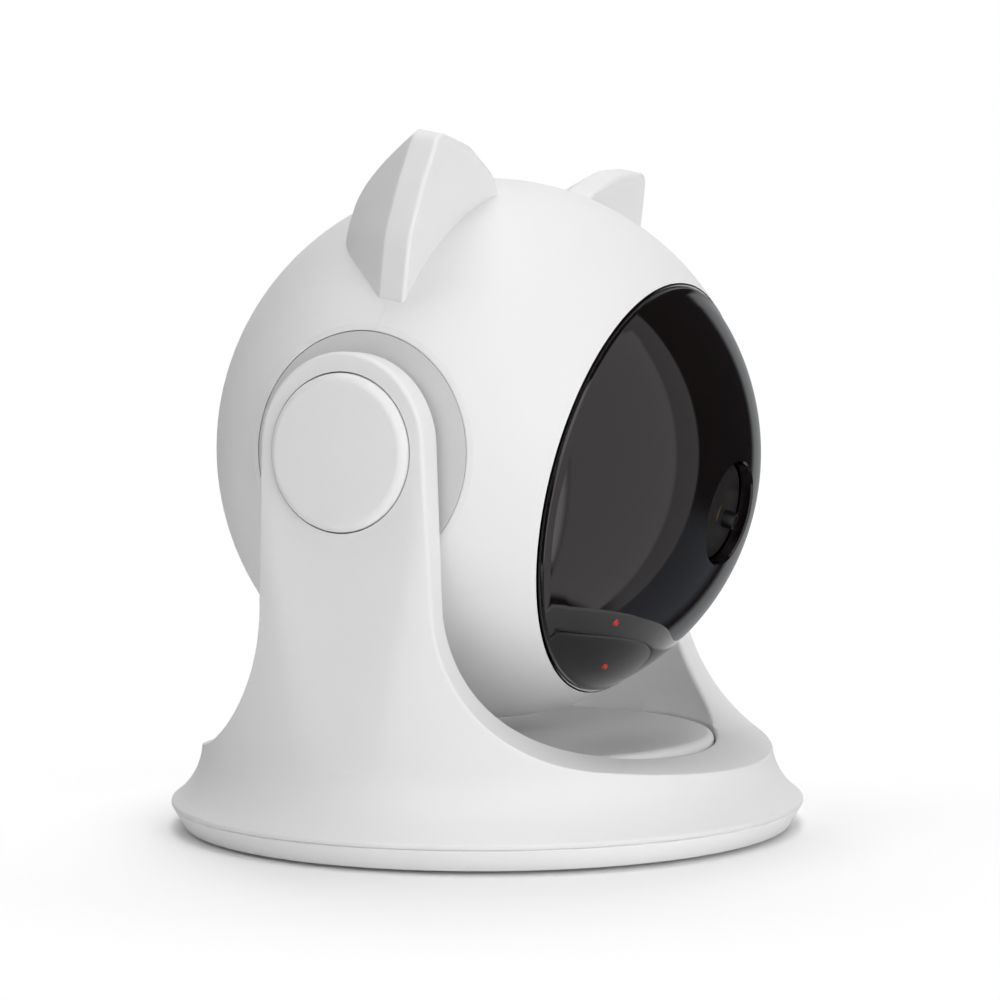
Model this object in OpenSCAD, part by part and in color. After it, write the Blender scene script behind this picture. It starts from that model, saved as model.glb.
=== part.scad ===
// Automatic cat laser toy: a ball head with cat ears and a dark visor, tilting
// between the two arms of a flared base. A motor inside the head spins a small
// turret that throws the laser dot in a circle.
// Frame: origin at the middle of the underside, +Z up, the visor faces -Y,
// and the head tilts about an axle along X.

/* [Base] */
// Widest diameter of the flared skirt
base_d = 100; // [96:1:112]
// Diameter of the base plate where it meets the floor gap
rim_d = 96; // [92:1:96]
// Height of the base plate's visible rim
rim_h = 3.25; // [2.6:0.05:4]
// How far the rubber feet stand below the rim
foot_proud = 0.5; // [0.3:0.1:1.5]
// Diameter of the bell at its lip
lip_d = 90.2; // [88:0.2:92]
// Height of the lip, where the bell turns vertical, above the skirt's edge
lip_h = 9.9; // [9:0.1:11]
// Thickness of the bell's skirt
skirt_wall = 2.4; // [2:0.1:2.6]
// Diameter of the round floor insert under the head
cradle_d = 72; // [70:0.2:74]
// Thickness of the floor insert
cradle_t = 2.4; // [2:0.1:3]
// Thickness of the steel ballast plate
ballast_t = 4; // [2:0.5:5]
// Diameter of the steel ballast plate
ballast_d = 56; // [40:1:60]
// Diameter of each rubber foot
foot_d = 11; // [8:0.5:13]
// Number of rubber feet
foot_count = 4; // [3:1:6]
// Number of screws that hold the base plate
base_screw_count = 4; // [3:1:6]

/* [Arms] */
// Height of the tilt axle above the rim's underside
axle_h = 58.7; // [58:0.1:62]
// Half width of an arm at the axle, seen from the side
arm_w = 13.7; // [13.2:0.1:15]
// Distance of an arm's outer face from the middle, at the axle
arm_out_x = 44.1; // [43.8:0.1:45]
// Room between the head's flat side and an arm's inner face
arm_gap = 0.8; // [0.6:0.1:1.5]
// Radius of the sweep from the arm down to the front lip
sweep_r = 24; // [20:0.5:28]
// Slope of the lip, front and back, in degrees
lip_slope = 9.6; // [6:0.2:12]
// How much wider an arm gets toward its foot, in degrees per side
arm_taper = 2.4; // [1:0.2:4]
// Diameter of the pivot cap
cap_d = 22.9; // [21:0.1:23.4]
// How far the pivot cap stands proud of the arm
cap_proud = 1.5; // [0.8:0.1:2.5]
// Depth of the wall left behind the pivot cap
web_t = 2.3; // [1.8:0.1:2.6]

/* [Head] */
// Diameter of the ball
head_d = 85.2; // [83:0.2:86]
// Downward tilt of the head as stored, in degrees
head_pitch = 13; // [0:1:20]
// Wall of the ball's shells
shell_wall = 2; // [1.6:0.1:2.4]
// Distance of the head's flat sides from the middle
side_x = 38.5; // [38:0.1:39]
// Radius of the round pivot plate in each flat side
hub_r = 17.6; // [16:0.1:17.6]
// Radius of the trunnion that turns in the arm
trunnion_r = 5; // [4:0.1:5.5]
// Depth of the seam between front and rear shell in front of the axle
seam_front = 1.3; // [0.8:0.1:2]

/* [Ears] */
// Height of the ear's tip above the ball's centre
ear_tip_z = 47.3; // [45:0.1:49]
// Distance of the ear's tip from the middle plane
ear_tip_x = 33.7; // [32:0.1:36]
// Thickness of the ear's straight edge, front to back
ear_edge = 4.3; // [3:0.1:5]
// Length of the rounded back of the ear
ear_back = 14; // [10:0.5:15]

/* [Visor] */
// Radius of the visor's rim
visor_r = 31.7; // [30:0.1:31.8]
// How far the visor bulges past the ball at the front
visor_bulge = 1.1; // [0.5:0.1:2]
// Thickness of the visor
visor_t = 2; // [1.6:0.1:2.4]
// Radius of the round opening for the turret
port_r = 7.9; // [7.8:0.1:9]

/* [Turret] */
// Radius of the turret's round face
turret_r = 7.6; // [7.4:0.05:7.6]
// Radius of the laser nozzle's tip
nozzle_r = 1.35; // [1:0.05:1.6]
// Distance of the nozzle's tip from the turret's axis
nozzle_off = 3.9; // [3.4:0.1:4.2]
// Direction of the nozzle around the turret's axis, in degrees
nozzle_dir = -23; // [-90:1:90]
// Outward tilt of the laser module, in degrees
beam_tilt = 10; // [6:1:12]
// Radius of the laser module's barrel
laser_r = 3; // [2.6:0.05:3.1]
// Gear module of the drive
gear_m = 0.8; // [0.7:0.05:0.9]
// Teeth of the turret gear
turret_teeth = 36; // [32:4:36]
// Teeth of the motor pinion
pinion_teeth = 12; // [12:4:16]
// Width of the gears
gear_w = 4; // [3:0.5:4]

/* [Electronics] */
// Width of the battery pouch
battery_w = 50; // [44:1:50]
// Height of the battery pouch
battery_h = 34; // [26:1:36]
// Thickness of the battery pouch
battery_t = 8; // [5:0.5:8.5]
// Radius of the power button
button_r = 4.5; // [4:0.1:5]
// Travel of the power button
button_travel = 0.6; // [0.3:0.1:0.8]
// Height of the power button above the head's middle
button_z = 10; // [9:0.5:11]
// Depth of the charging port below the head's middle
port_drop = 10; // [9:0.5:11]

/* [Fits] */
// Radial clearance of a running fit
run_clear = 0.06; // [0.04:0.01:0.09]
// Gap around a part that sits in a recess
seat_gap = 0.2; // [0.1:0.05:0.3]
// Radius of a self-tapping screw's shank
screw_r = 1.25; // [1:0.05:1.4]

/* [Hidden] */
$fn = 96;
eps = 0.01;

// Heights of the base, from the floor up
rim_z = foot_proud;
skirt_z = rim_z + rim_h;
lip_z = skirt_z + lip_h;
axle_z = rim_z + axle_h;
base_r = base_d / 2;
lip_r = lip_d / 2;
cradle_r = cradle_d / 2;
skirt_edge = 0.7;
// The skirt's hollow sweep is a circle beside the bell, through the skirt edge
flare_dz = lip_h - skirt_edge;
flare_dr = base_r - lip_r;
flare_r = (flare_dr * flare_dr + flare_dz * flare_dz) / (2 * flare_dr);
// The lip's height at the bell's rim, and further in
lip_edge_z = lip_z - 2;
function lip_top(r) = lip_edge_z + (lip_r - r) * tan(lip_slope);
cradle_rise = 1.2;
cradle_top = lip_top(cradle_r) + cradle_rise;
cradle_low = cradle_top - cradle_t;
ledge_t = 2;
ledge_z = cradle_low - ledge_t;
ledge_r = cradle_r - 3.2;
plate_t = 2.8;
plate_top = rim_z + plate_t;
spigot_w = 1.9;
skirt_seat_w = 3.2;
seat_depth = 0.8;
hollow_r = lip_r - skirt_wall;
spigot_gap = 0.15;

// Arms
arm_in_x = side_x + arm_gap;
web_x = arm_in_x + web_t;
arm_top_rise = 0.8;
arm_top_z = axle_z + arm_top_rise + arm_w;
arm_bulge_r = arm_out_x + 2.1;
// The cup's wall flares just above the liner, then leans out to the arms
cup_r_low = cradle_r + 0.3;
cup_r_mid = cradle_r + 4.2;
cup_mid_z = cradle_top + 6;
cup_r_high = cradle_r + 6;
cup_high_z = axle_z - 16;
cap_r = cap_d / 2;
pocket_r = cap_r + seat_gap;
cap_wall = 1.2;
cap_top_x = arm_out_x + cap_proud;
cap_roof = 1.3;

// Base fasteners
base_screw_at = hollow_r - 3.4;
boss_r = 3;
screw_head_r = 2.6;
screw_head_t = 1.5;
pilot_r = screw_r;
screw_clear_r = screw_r + 0.35;
foot_at = base_screw_at - 6;
foot_sink = 0.8;

// Head
head_r = head_d / 2;
inner_r = head_r - shell_wall;
hub_flange_r = hub_r + 1.5;
hub_flange_t = 1.5;
hub_disc_t = 3;
hub_flange_x = side_x - hub_disc_t;
hub_in_x = hub_flange_x - hub_flange_t;
hub_ring_r = hub_flange_r + 1.9;
hub_ring_x = hub_in_x - 1.5;
hub_key_w = 4;
hub_key_h = 1.1;
hub_fit = 0.1;
trunnion_end = web_x + 0.15;
pivot_washer_t = 0.8;
pivot_washer_r = 7;
pivot_screw_x = hub_ring_x + 1;
seam_y = -seam_front;
shell_screw_at = 24.4;
shell_boss_r = 3.2;
shell_head_y = 8;
shell_screw_len = 14;

// Visor: a slightly flatter dome than the ball, on the same rim
visor_y = -sqrt(head_r * head_r - visor_r * visor_r);
visor_apex = head_r + visor_bulge;
visor_sag = visor_apex + visor_y;
dome_r = (visor_r * visor_r + visor_sag * visor_sag) / (2 * visor_sag);
dome_y = dome_r - visor_apex;
visor_skirt = 1.95;
visor_seat_y = visor_y + visor_skirt;
visor_in_r = sqrt(pow(dome_r - visor_t, 2) - pow(visor_y - dome_y, 2));
ledge_in_r = visor_in_r + 0.5;
ledge_back_y = visor_seat_y + 2;

// Turret, from its face backward
turret_face_y = -(sqrt(pow(dome_r - visor_t, 2) - port_r * port_r) - dome_y);
turret_disc_t = 1.5;
drum_r = turret_r - 0.4;
gear_front_y = turret_face_y + 13.9;
gear_back_y = gear_front_y + gear_w;
bearing_front_y = gear_back_y + 0.2;
// behind the turret's gear, and clear of the visor's ledge
chassis_y = max(gear_back_y + 4, ledge_back_y + 4.5);
chassis_t = 2.5;
chassis_back = chassis_y + chassis_t;
bearing_back_y = chassis_back + 1;
shaft_r = 4;
clip_gap = 0.1;
clip_t = 0.8;
clip_groove = 0.6;
clip_y = bearing_back_y + clip_gap;
ring_y = clip_y + clip_t + 1;
ring_w = 1.5;
ring_t = 0.6;
ring_pitch = 2.5;
shaft_end_y = ring_y + ring_pitch + ring_w + 1.5;
wire_r = 1.6;
nozzle_tip_y = -(visor_apex - 1.1);
laser_front = 2.2;
laser_len = 10.5;
lens_t = 0.8;

// Gears
turret_pitch_r = gear_m * turret_teeth / 2;
pinion_pitch_r = gear_m * pinion_teeth / 2;
gear_centre = turret_pitch_r + pinion_pitch_r;
motor_shaft_r = 1.5;
motor_z = gear_centre;
gearbox_w = 12;
gearbox_h = 10;
gearbox_l = 9;
can_l = 15;
motor_tail = 0.8;
clamp_t = 1.5;
clamp_screw_x = gearbox_w / 2 + clamp_t + 3;
brush_w = 0.3;
brush_gap = 0.05;
brush_seat_y = ring_y - 0.6;

// Chassis and what it carries
chassis_screw_at = ledge_in_r + 1.9;
chassis_r = chassis_screw_at - 1;
chassis_boss_r = 2.8;
chassis_angles = [90, 210, 330];
battery_y = chassis_back + gearbox_l + can_l + motor_tail + 0.7;
battery_gap = 0.4;
rail_t = 2;
rail_x = battery_w / 2 + battery_gap;
rail_h = 22;
strap_t = 1.5;
strap_y = battery_y + battery_t;
strap_w = 7;
strap_screw_z = battery_h / 2 + battery_gap + 3.2;
// The strap runs up and down beside the motor's clamp
strap_x = -(clamp_screw_x + 6);
rail_boss_r = 2.6;

// Indicator lights, at their places behind the visor
board_t = 1.2;
board_y = visor_seat_y - 0.8;
board_r = visor_in_r - 0.2;
board_dir = 238;
board_in = visor_r - 11.7;
board_half = 11.2;
board_screw_at = visor_r - 9.1;
// Distance from the visor's rim and direction of each lamp
lamp_polar = [[7.6, 227], [4, 247.7]];
lamp_spots = [for (p = lamp_polar) (visor_r - p[0]) * [cos(p[1]), sin(p[1])]];
pipe_r = 0.7;
led_w = 1.6;
led_t = 0.7;

// Control board on the rear shell
rear_board_y = head_r - 14.6;
rear_board_t = 1.6;
rear_board_w = 34;
rear_board_h = 36;
rear_post_x = 13.5;
rear_post_z = 14.5;
rear_post_r = 2.6;
rear_back = rear_board_y + rear_board_t;
usb_w = 8.94;
usb_h = 3.26;
usb_len = 10;
usb_wall = 0.4;
tact_w = 6;
tact_t = 3.5;
plunger_r = 1.7;
plunger_len = 1.5;
// Depth left under the plunger's well in the switch
switch_floor = 1;
button_top = sqrt(head_r * head_r - button_z * button_z) + 0.4;
button_wall_y = sqrt(inner_r * inner_r - pow(button_z + button_r, 2));
button_flange_r = button_r + 1.2;
button_flange_t = 1.2;
button_stop_y = button_wall_y - 0.6;

// ---------- shared shapes ----------

module ycyl(r, y0, y1, x = 0, z = 0) {
    translate([x, y0, z])
        rotate([-90, 0, 0])
            cylinder(r = r, h = y1 - y0);
}

module xcyl(r, x0, x1, y = 0, z = 0) {
    translate([x0, y, z])
        rotate([0, 90, 0])
            cylinder(r = r, h = x1 - x0);
}

module centred_box(sx, sz, y0, y1, x = 0, z = 0) {
    translate([x - sx / 2, y0, z - sz / 2])
        cube([sx, y1 - y0, sz]);
}

// Everything on the head is drawn about the ball's centre and set in place here
module head_place() {
    translate([0, 0, axle_z])
        rotate([head_pitch, 0, 0])
            children();
}

// A pan-head screw, head down at the origin, shank up
module screw(len, r = screw_r, head_r = screw_head_r, head_t = screw_head_t) {
    difference() {
        union() {
            cylinder(r = head_r, h = head_t);
            cylinder(r = r, h = head_t + len);
        }
        translate([-head_r * 0.6, -0.3, -eps])
            cube([head_r * 1.2, 0.6, 0.6]);
        translate([-0.3, -head_r * 0.6, -eps])
            cube([0.6, head_r * 1.2, 0.6]);
    }
}

// The same screw driven toward -Y, its head's bearing face at y0
module screw_forward(y0, len, x, z) {
    translate([x, y0 + screw_head_t, z])
        rotate([90, 0, 0])
            screw(len);
}

// Spur gear outline: each flank follows a straight-sided rack's tooth
module gear_2d(teeth, slack) {
    pitch_r = gear_m * teeth / 2;
    root_r = pitch_r - 1.2 * gear_m;
    tip_r = pitch_r + gear_m * 0.95;
    step = 360 / teeth;
    half = step / 4 - slack / pitch_r * 180 / PI / 2;
    tip_half = half * 0.42;
    root_half = half * 1.62;
    polygon([
        for (i = [0 : teeth - 1])
            for (p = [[root_r, -root_half], [pitch_r - gear_m * 0.45, -half * 1.28],
                      [pitch_r, -half], [pitch_r + gear_m * 0.5, -half * 0.72],
                      [tip_r, -tip_half], [tip_r, tip_half],
                      [pitch_r + gear_m * 0.5, half * 0.72], [pitch_r, half],
                      [pitch_r - gear_m * 0.45, half * 1.28], [root_r, root_half]])
                p[0] * [cos(i * step + p[1]), sin(i * step + p[1])]
    ]);
}

// ---------- base ----------

// Side outline of bell and arms in the Y-Z plane, one half
function sweep_c() =
    let (a = sweep_r + cos(arm_taper) * arm_w + sin(arm_taper) * axle_z,
         b = sweep_r + sin(lip_slope) * lip_r + cos(lip_slope) * lip_edge_z,
         det = cos(arm_taper + lip_slope))
    [(a * cos(lip_slope) - b * sin(arm_taper)) / det,
     (b * cos(arm_taper) - a * sin(lip_slope)) / det];

sweep_steps = 18;

module arm_half_2d() {
    c = sweep_c();
    far = base_r + 5;
    polygon(concat(
        [[0, 0], [far, 0], [far, lip_top(far)]],
        [for (i = [sweep_steps : -1 : 0])
            let (a = arm_taper + (90 - lip_slope - arm_taper) * i / sweep_steps)
                c - sweep_r * [cos(a), sin(a)]],
        [[arm_w, axle_z], [arm_w, axle_z + arm_top_rise], [0, axle_z + arm_top_rise]]));
}

module arm_side_2d() {
    arm_half_2d();
    mirror([1, 0])
        arm_half_2d();
    translate([0, axle_z + arm_top_rise])
        circle(r = arm_w);
}

// Radial section of the bell's wall: swept skirt outside, hollow and the
// room for the head inside
module bell_2d() {
    difference() {
        polygon([[0, skirt_z], [base_r, skirt_z], [base_r, lip_z],
                 [lip_r, lip_z], [arm_bulge_r, axle_z], [arm_bulge_r, arm_top_z + 1],
                 [0, arm_top_z + 1]]);
        translate([lip_r + flare_r, lip_z])
            circle(r = flare_r);
        // nothing is left outside the sweep of a wide skirt
        translate([lip_r + flare_r, skirt_z + skirt_edge])
            square([base_r, lip_h]);
        // the hollow keeps the skirt's wall behind the sweep
        difference() {
            translate([0, skirt_z - 1])
                square([base_r - skirt_seat_w, ledge_z - skirt_z + 1]);
            translate([lip_r + flare_r, lip_z])
                circle(r = flare_r + skirt_wall);
        }
        translate([0, skirt_z - 1])
            square([base_r - skirt_seat_w, seat_depth + 1]);
        polygon([[0, cradle_low], [cup_r_low, cradle_low], [cup_r_low, cradle_top],
                 [cup_r_mid, cup_mid_z], [cup_r_high, cup_high_z], [cup_r_high, arm_top_z + 2],
                 [0, arm_top_z + 2]]);
        square([ledge_r, lip_z]);
    }
}

// Flat inner faces of the arms, beside the head's flat sides
module arm_plates() {
    half = sqrt(cup_r_high * cup_r_high - arm_in_x * arm_in_x) + 0.1;
    for (s = [-1, 1])
        on_side(s)
            translate([arm_in_x, -half, cradle_low])
                cube([cup_r_high - arm_in_x + 0.5, 2 * half, arm_top_z + 0.5 - cradle_low]);
}

module at_base_screws(z) {
    for (i = [0 : base_screw_count - 1])
        rotate(45 + i * 360 / base_screw_count)
            translate([base_screw_at, 0, z])
                children();
}

module base_shell() {
    color("whitesmoke")
    difference() {
        union() {
            intersection() {
                union() {
                    rotate_extrude()
                        bell_2d();
                    arm_plates();
                }
                translate([-base_r - 5, 0, 0])
                    rotate([90, 0, 90])
                        linear_extrude(2 * base_r + 10)
                            arm_side_2d();
                // flat outer faces of the arms
                translate([0, base_r + 5, 0])
                    rotate([90, 0, 0])
                        linear_extrude(2 * base_r + 10)
                            polygon([[-base_r - 5, 0], [base_r + 5, 0],
                                     [base_r + 5, lip_z], [lip_r, lip_z],
                                     [arm_out_x, axle_z - cap_r - 1],
                                     [arm_out_x, arm_top_z + 1],
                                     [-arm_out_x, arm_top_z + 1],
                                     [-arm_out_x, axle_z - cap_r - 1],
                                     [-lip_r, lip_z], [-base_r - 5, lip_z]]);
            }
            at_base_screws(plate_top)
                cylinder(r = boss_r, h = ledge_z + 0.5 - plate_top);
        }
        at_base_screws(plate_top - eps)
            cylinder(r = pilot_r, h = ledge_z + 1.2 - plate_top);
        for (s = [-1, 1])
            on_side(s) {
                xcyl(trunnion_r + run_clear, arm_in_x - 1, arm_out_x + 5, 0, axle_z);
                xcyl(pocket_r, web_x, arm_out_x + 5, 0, axle_z);
            }
    }
}

// Repeats a +X shape on the side named by s
module on_side(s) {
    if (s > 0)
        children();
    else
        mirror([1, 0, 0])
            children();
}

hook_w = 7;
hook_t = 1.5;
hook_bite = 0.8;
hook_gap = 0.25;

module cradle_liner() {
    color("gainsboro")
    union() {
        rotate_extrude() {
            polygon([[0, cradle_low], [cradle_r, cradle_low],
                     [cradle_r, cradle_top - cradle_rise],
                     [cradle_r - cradle_rise, cradle_top - cradle_rise],
                     [cradle_r - cradle_rise, cradle_top], [0, cradle_top]]);
            intersection() {
                translate([cradle_r - cradle_rise, cradle_top - cradle_rise])
                    circle(r = cradle_rise);
                translate([cradle_r - cradle_rise, cradle_top - cradle_rise])
                    square(cradle_rise);
            }
        }
        // snap hooks that grip under the bell's ledge
        for (i = [0 : 3])
            rotate(i * 90)
                translate([ledge_r - hook_gap - hook_t, -hook_w / 2, ledge_z - 2]) {
                    cube([hook_t, hook_w, cradle_low + 0.5 - ledge_z + 2]);
                    cube([hook_t + hook_gap + hook_bite, hook_w, 1.9]);
                }
        // posts that press the ballast down
        for (i = [0 : 3])
            rotate(45 + i * 90)
                translate([ballast_d / 2 - 5, 0, plate_top + ballast_t])
                    cylinder(r = 2.5, h = cradle_low + 0.5 - plate_top - ballast_t);
    }
}

module base_plate() {
    color("white")
    difference() {
        rotate_extrude()
            polygon([[0, rim_z], [rim_d / 2, rim_z], [base_r - 0.1, skirt_z],
                     [base_r - skirt_seat_w - spigot_gap, skirt_z],
                     [base_r - skirt_seat_w - spigot_gap, skirt_z + 0.7],
                     [base_r - skirt_seat_w - spigot_w, skirt_z + 0.7],
                     [base_r - skirt_seat_w - spigot_w, plate_top],
                     [ballast_d / 2 + 2, plate_top], [ballast_d / 2 + 2, plate_top + 1.5],
                     [ballast_d / 2 + seat_gap, plate_top + 1.5],
                     [ballast_d / 2 + seat_gap, plate_top], [0, plate_top]]);
        at_base_screws(0) {
            cylinder(r = screw_clear_r, h = 10);
            cylinder(r = screw_head_r + 0.3, h = rim_z + 0.2 + screw_head_t);
        }
        for (i = [0 : foot_count - 1])
            rotate(i * 360 / foot_count)
                translate([foot_at, 0, 0])
                    cylinder(r = foot_d / 2, h = rim_z + foot_sink);
    }
}

module ballast_plate() {
    color("slategray")
    translate([0, 0, plate_top])
        cylinder(r = ballast_d / 2, h = ballast_t);
}

module anti_slip_feet() {
    color("dimgray")
    for (i = [0 : foot_count - 1])
        rotate(i * 360 / foot_count)
            translate([foot_at, 0, 0])
                cylinder(r = foot_d / 2, h = rim_z + foot_sink);
}

module base_screws() {
    color("silver")
    at_base_screws(rim_z + 0.2)
        screw(ledge_z - 0.4 - rim_z - 0.2 - screw_head_t);
}

// Domed cap: a round-edged disc with a skirt that stands on the pocket's floor
module pivot_cap() {
    edge = min(cap_proud, 1.5);
    difference() {
        translate([web_x, 0, axle_z])
            rotate([0, 90, 0])
                rotate_extrude() {
                    square([cap_r - edge, cap_top_x - web_x]);
                    square([cap_r, cap_top_x - web_x - edge]);
                    translate([cap_r - edge, cap_top_x - web_x - edge])
                        circle(r = edge);
                    square([pocket_r - 0.02, 1.2]);
                }
        xcyl(cap_r - cap_wall, web_x - 1, cap_top_x - cap_roof, 0, axle_z);
    }
}

module pivot_cap_left() {
    color("whitesmoke")
        on_side(-1)
            pivot_cap();
}

module pivot_cap_right() {
    color("whitesmoke")
        on_side(1)
            pivot_cap();
}

// ---------- head shells ----------

// Section of the ball's wall, revolved about the axle: the axle runs along the
// outline's Y. Flat sides with a stepped hole and a grooved ring for each hub.
module ball_2d() {
    difference() {
        intersection() {
            circle(r = head_r);
            translate([0, -side_x])
                square([head_r + 1, 2 * side_x]);
        }
        difference() {
            circle(r = inner_r);
            for (s = [0, 1])
                mirror([0, s])
                    translate([hub_flange_r - 2, hub_ring_x])
                        square([hub_ring_r - hub_flange_r + 2, side_x - hub_ring_x]);
        }
        for (s = [0, 1])
            mirror([0, s]) {
                translate([-1, hub_flange_x - eps])
                    square([hub_r + hub_fit + 1, side_x]);
                translate([-1, hub_in_x - 0.05])
                    square([hub_flange_r + hub_fit + 1, hub_flange_t + 0.05]);
            }
        translate([-head_r, -head_r])
            square([head_r, 2 * head_r]);
    }
}

module ball_shell() {
    rotate([0, 90, 0])
        rotate_extrude()
            ball_2d();
}

// Slots that stop the hubs from turning in the shells
module hub_key_slots() {
    for (s = [-1, 1])
        on_side(s)
            translate([hub_in_x - 0.05, -hub_key_w / 2 - hub_fit,
                       -hub_flange_r - hub_key_h - hub_fit])
                cube([hub_flange_t + 0.05, hub_key_w + 2 * hub_fit,
                      2 * (hub_flange_r + hub_key_h + hub_fit)]);
}

module front_half_space() {
    translate([-head_d, -head_d, -head_d])
        cube([2 * head_d, head_d + seam_y, 2 * head_d]);
}

lip_w = 1.4;
lip_out = 2;
lip_root = 2.5;

module rear_half_space() {
    translate([-head_d, seam_y, -head_d])
        cube([2 * head_d, head_d, 2 * head_d]);
}

module at_corners(d) {
    for (x = [-d, d])
        for (z = [-d, d])
            translate([x, 0, z])
                children();
}

module head_front_shell() {
    color("whitesmoke")
    head_place()
    difference() {
        union() {
            intersection() {
                ball_shell();
                front_half_space();
            }
            // the ledge that the visor sits on
            difference() {
                ycyl(visor_r + 1.2, visor_seat_y - eps, ledge_back_y);
                ycyl(ledge_in_r, visor_seat_y - 1, ledge_back_y + 1);
            }
            intersection() {
                sphere(r = inner_r + 0.5);
                union() {
                    at_corners(shell_screw_at)
                        ycyl(shell_boss_r, -head_r, seam_y);
                    for (a = chassis_angles)
                        ycyl(chassis_boss_r, ledge_back_y - 0.5, chassis_y,
                             chassis_screw_at * cos(a), chassis_screw_at * sin(a));
                }
            }
        }
        // the opening and the recess for the visor's rim
        ycyl(ledge_in_r, -head_r - 5, ledge_back_y + eps);
        ycyl(visor_r + 0.1, -head_r - 5, visor_seat_y);
        at_corners(shell_screw_at)
            ycyl(pilot_r, seam_y - shell_screw_len + 2, seam_y + 1);
        for (a = chassis_angles)
            ycyl(pilot_r, chassis_y - 5, chassis_y + 1,
                 chassis_screw_at * cos(a), chassis_screw_at * sin(a));
        hub_key_slots();
    }
}

ear_peg_dir = [-22, 6, 36.5];
ear_peg_len = norm(ear_peg_dir);
ear_peg_r = 2;
ear_peg_in = 6;

// Points along the ear's peg, which runs toward the ball's centre
module ear_axis() {
    yaw = atan2(ear_peg_dir[1], ear_peg_dir[0]);
    tilt = acos(ear_peg_dir[2] / ear_peg_len);
    rotate([0, 0, yaw])
        rotate([0, tilt, 0])
            children();
}

module head_rear_shell() {
    color("whitesmoke")
    head_place()
    difference() {
        union() {
            intersection() {
                ball_shell();
                rear_half_space();
            }
            // lip that centres the two shells
            intersection() {
                translate([0, seam_y, 0])
                    rotate([-90, 0, 0])
                        rotate_extrude()
                            polygon([[inner_r - lip_w, -lip_out],
                                     [inner_r - 0.15, -lip_out], [inner_r - 0.15, 0],
                                     [inner_r + 0.7, 0], [inner_r + 0.7, lip_root],
                                     [inner_r - lip_w, lip_root]]);
                translate([-hub_ring_x + 1, -head_r, -head_r])
                    cube([2 * hub_ring_x - 2, head_d, head_d]);
            }
            intersection() {
                sphere(r = inner_r + 0.5);
                union() {
                    at_corners(shell_screw_at)
                        ycyl(shell_boss_r + 0.9, seam_y, head_r);
                    for (x = [-rear_post_x, rear_post_x])
                        for (z = [-rear_post_z, rear_post_z])
                            ycyl(rear_post_r, rear_back, head_r, x, z);
                    // guide tube of the power button
                    ycyl(button_flange_r + 1.1, button_stop_y - 3.6, head_r, 0, button_z);
                }
            }
        }
        at_corners(shell_screw_at) {
            ycyl(screw_clear_r, seam_y - 1, head_r);
            ycyl(screw_head_r + 0.3, shell_head_y, head_r + 5);
        }
        for (x = [-rear_post_x, rear_post_x])
            for (z = [-rear_post_z, rear_post_z])
                ycyl(pilot_r, rear_back - 1, rear_back + 4.5, x, z);
        // power button: a bore with a wider pocket behind it for its flange
        ycyl(button_r + 0.1, rear_back, head_r + 5, 0, button_z);
        ycyl(button_flange_r + 0.1, rear_back, button_stop_y, 0, button_z);
        // charging port
        usb_slot(usb_w / 2 + 0.3, usb_h / 2 + 0.3, rear_back, head_r + 5);
        usb_slot(usb_w / 2 + 2.2, usb_h / 2 + 2.2,
                 sqrt(head_r * head_r - port_drop * port_drop) - 1.1, head_r + 5);
        for (s = [-1, 1])
            on_side(s)
                mirror([1, 0, 0])
                    ear_axis()
                        translate([0, 0, inner_r - 3])
                            cylinder(r = ear_peg_r + 0.05, h = 6);
        hub_key_slots();
    }
}

// A stadium-shaped prism along Y at the charging port
module usb_slot(half_w, half_h, y0, y1) {
    centred_box(2 * (half_w - half_h), 2 * half_h, y0, y1, 0, -port_drop);
    for (s = [-1, 1])
        ycyl(half_h, y0, y1, s * (half_w - half_h), -port_drop);
}

// ---------- ears ----------

ear_in_x = 13.4;
ear_in_z = 31;
ear_low_x = 36.6;
ear_low_z = 21.2;
ear_tip_r = 2.2;

// Discs that the left ear's rounded triangular outline wraps: x, z, radius
ear_discs = [[-ear_tip_x, ear_tip_z - ear_tip_r, ear_tip_r],
             [-ear_tip_x + 6.5, ear_tip_z - ear_tip_r - 4.8, ear_tip_r + 3.9],
             [-ear_in_x - 8.6, ear_in_z + 4.5, 8.6],
             [-ear_low_x + 10.6, ear_low_z + 10.8, 12],
             [-ear_low_x + 2.3, ear_low_z + 17.8, 3],
             [-ear_low_x + 1.2, ear_low_z + 1.6, 1]];
ear_centre = [-24, 29];
ear_points = 40;

// The outline's point furthest in the direction u
function ear_point(u) =
    let (reach = [for (d = ear_discs) d[0] * u[0] + d[1] * u[1] + d[2]],
         far = [for (i = [0 : len(reach) - 1]) if (reach[i] == max(reach)) ear_discs[i]][0])
    [far[0], far[1]] + far[2] * u;

// A straight edge, then rings that shrink toward the back like a blunt cone
module ear_body() {
    rings = concat(
        [[seam_y + 0.02, 1], [seam_y + ear_edge, 1]],
        [for (u = [0.15, 0.3, 0.45, 0.6, 0.75, 0.87, 0.95, 0.99])
            [seam_y + ear_edge + u * ear_back, sqrt((1 - u) * (1 - 0.23 * u))]]);
    n = ear_points;
    last = len(rings) - 1;
    polyhedron(
        points = [for (ring = rings)
            for (i = [0 : n - 1])
                let (p = ear_point([cos(360 * i / n), sin(360 * i / n)]),
                     q = ear_centre + ring[1] * (p - ear_centre))
                [q[0], ring[0], q[1]]],
        faces = concat(
            [[for (i = [n - 1 : -1 : 0]) i]],
            [[for (i = [0 : n - 1]) last * n + i]],
            [for (k = [0 : last - 1])
                for (i = [0 : n - 1])
                    let (j = (i + 1) % n)
                    [k * n + i, k * n + j, (k + 1) * n + j, (k + 1) * n + i]]));
}

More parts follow.
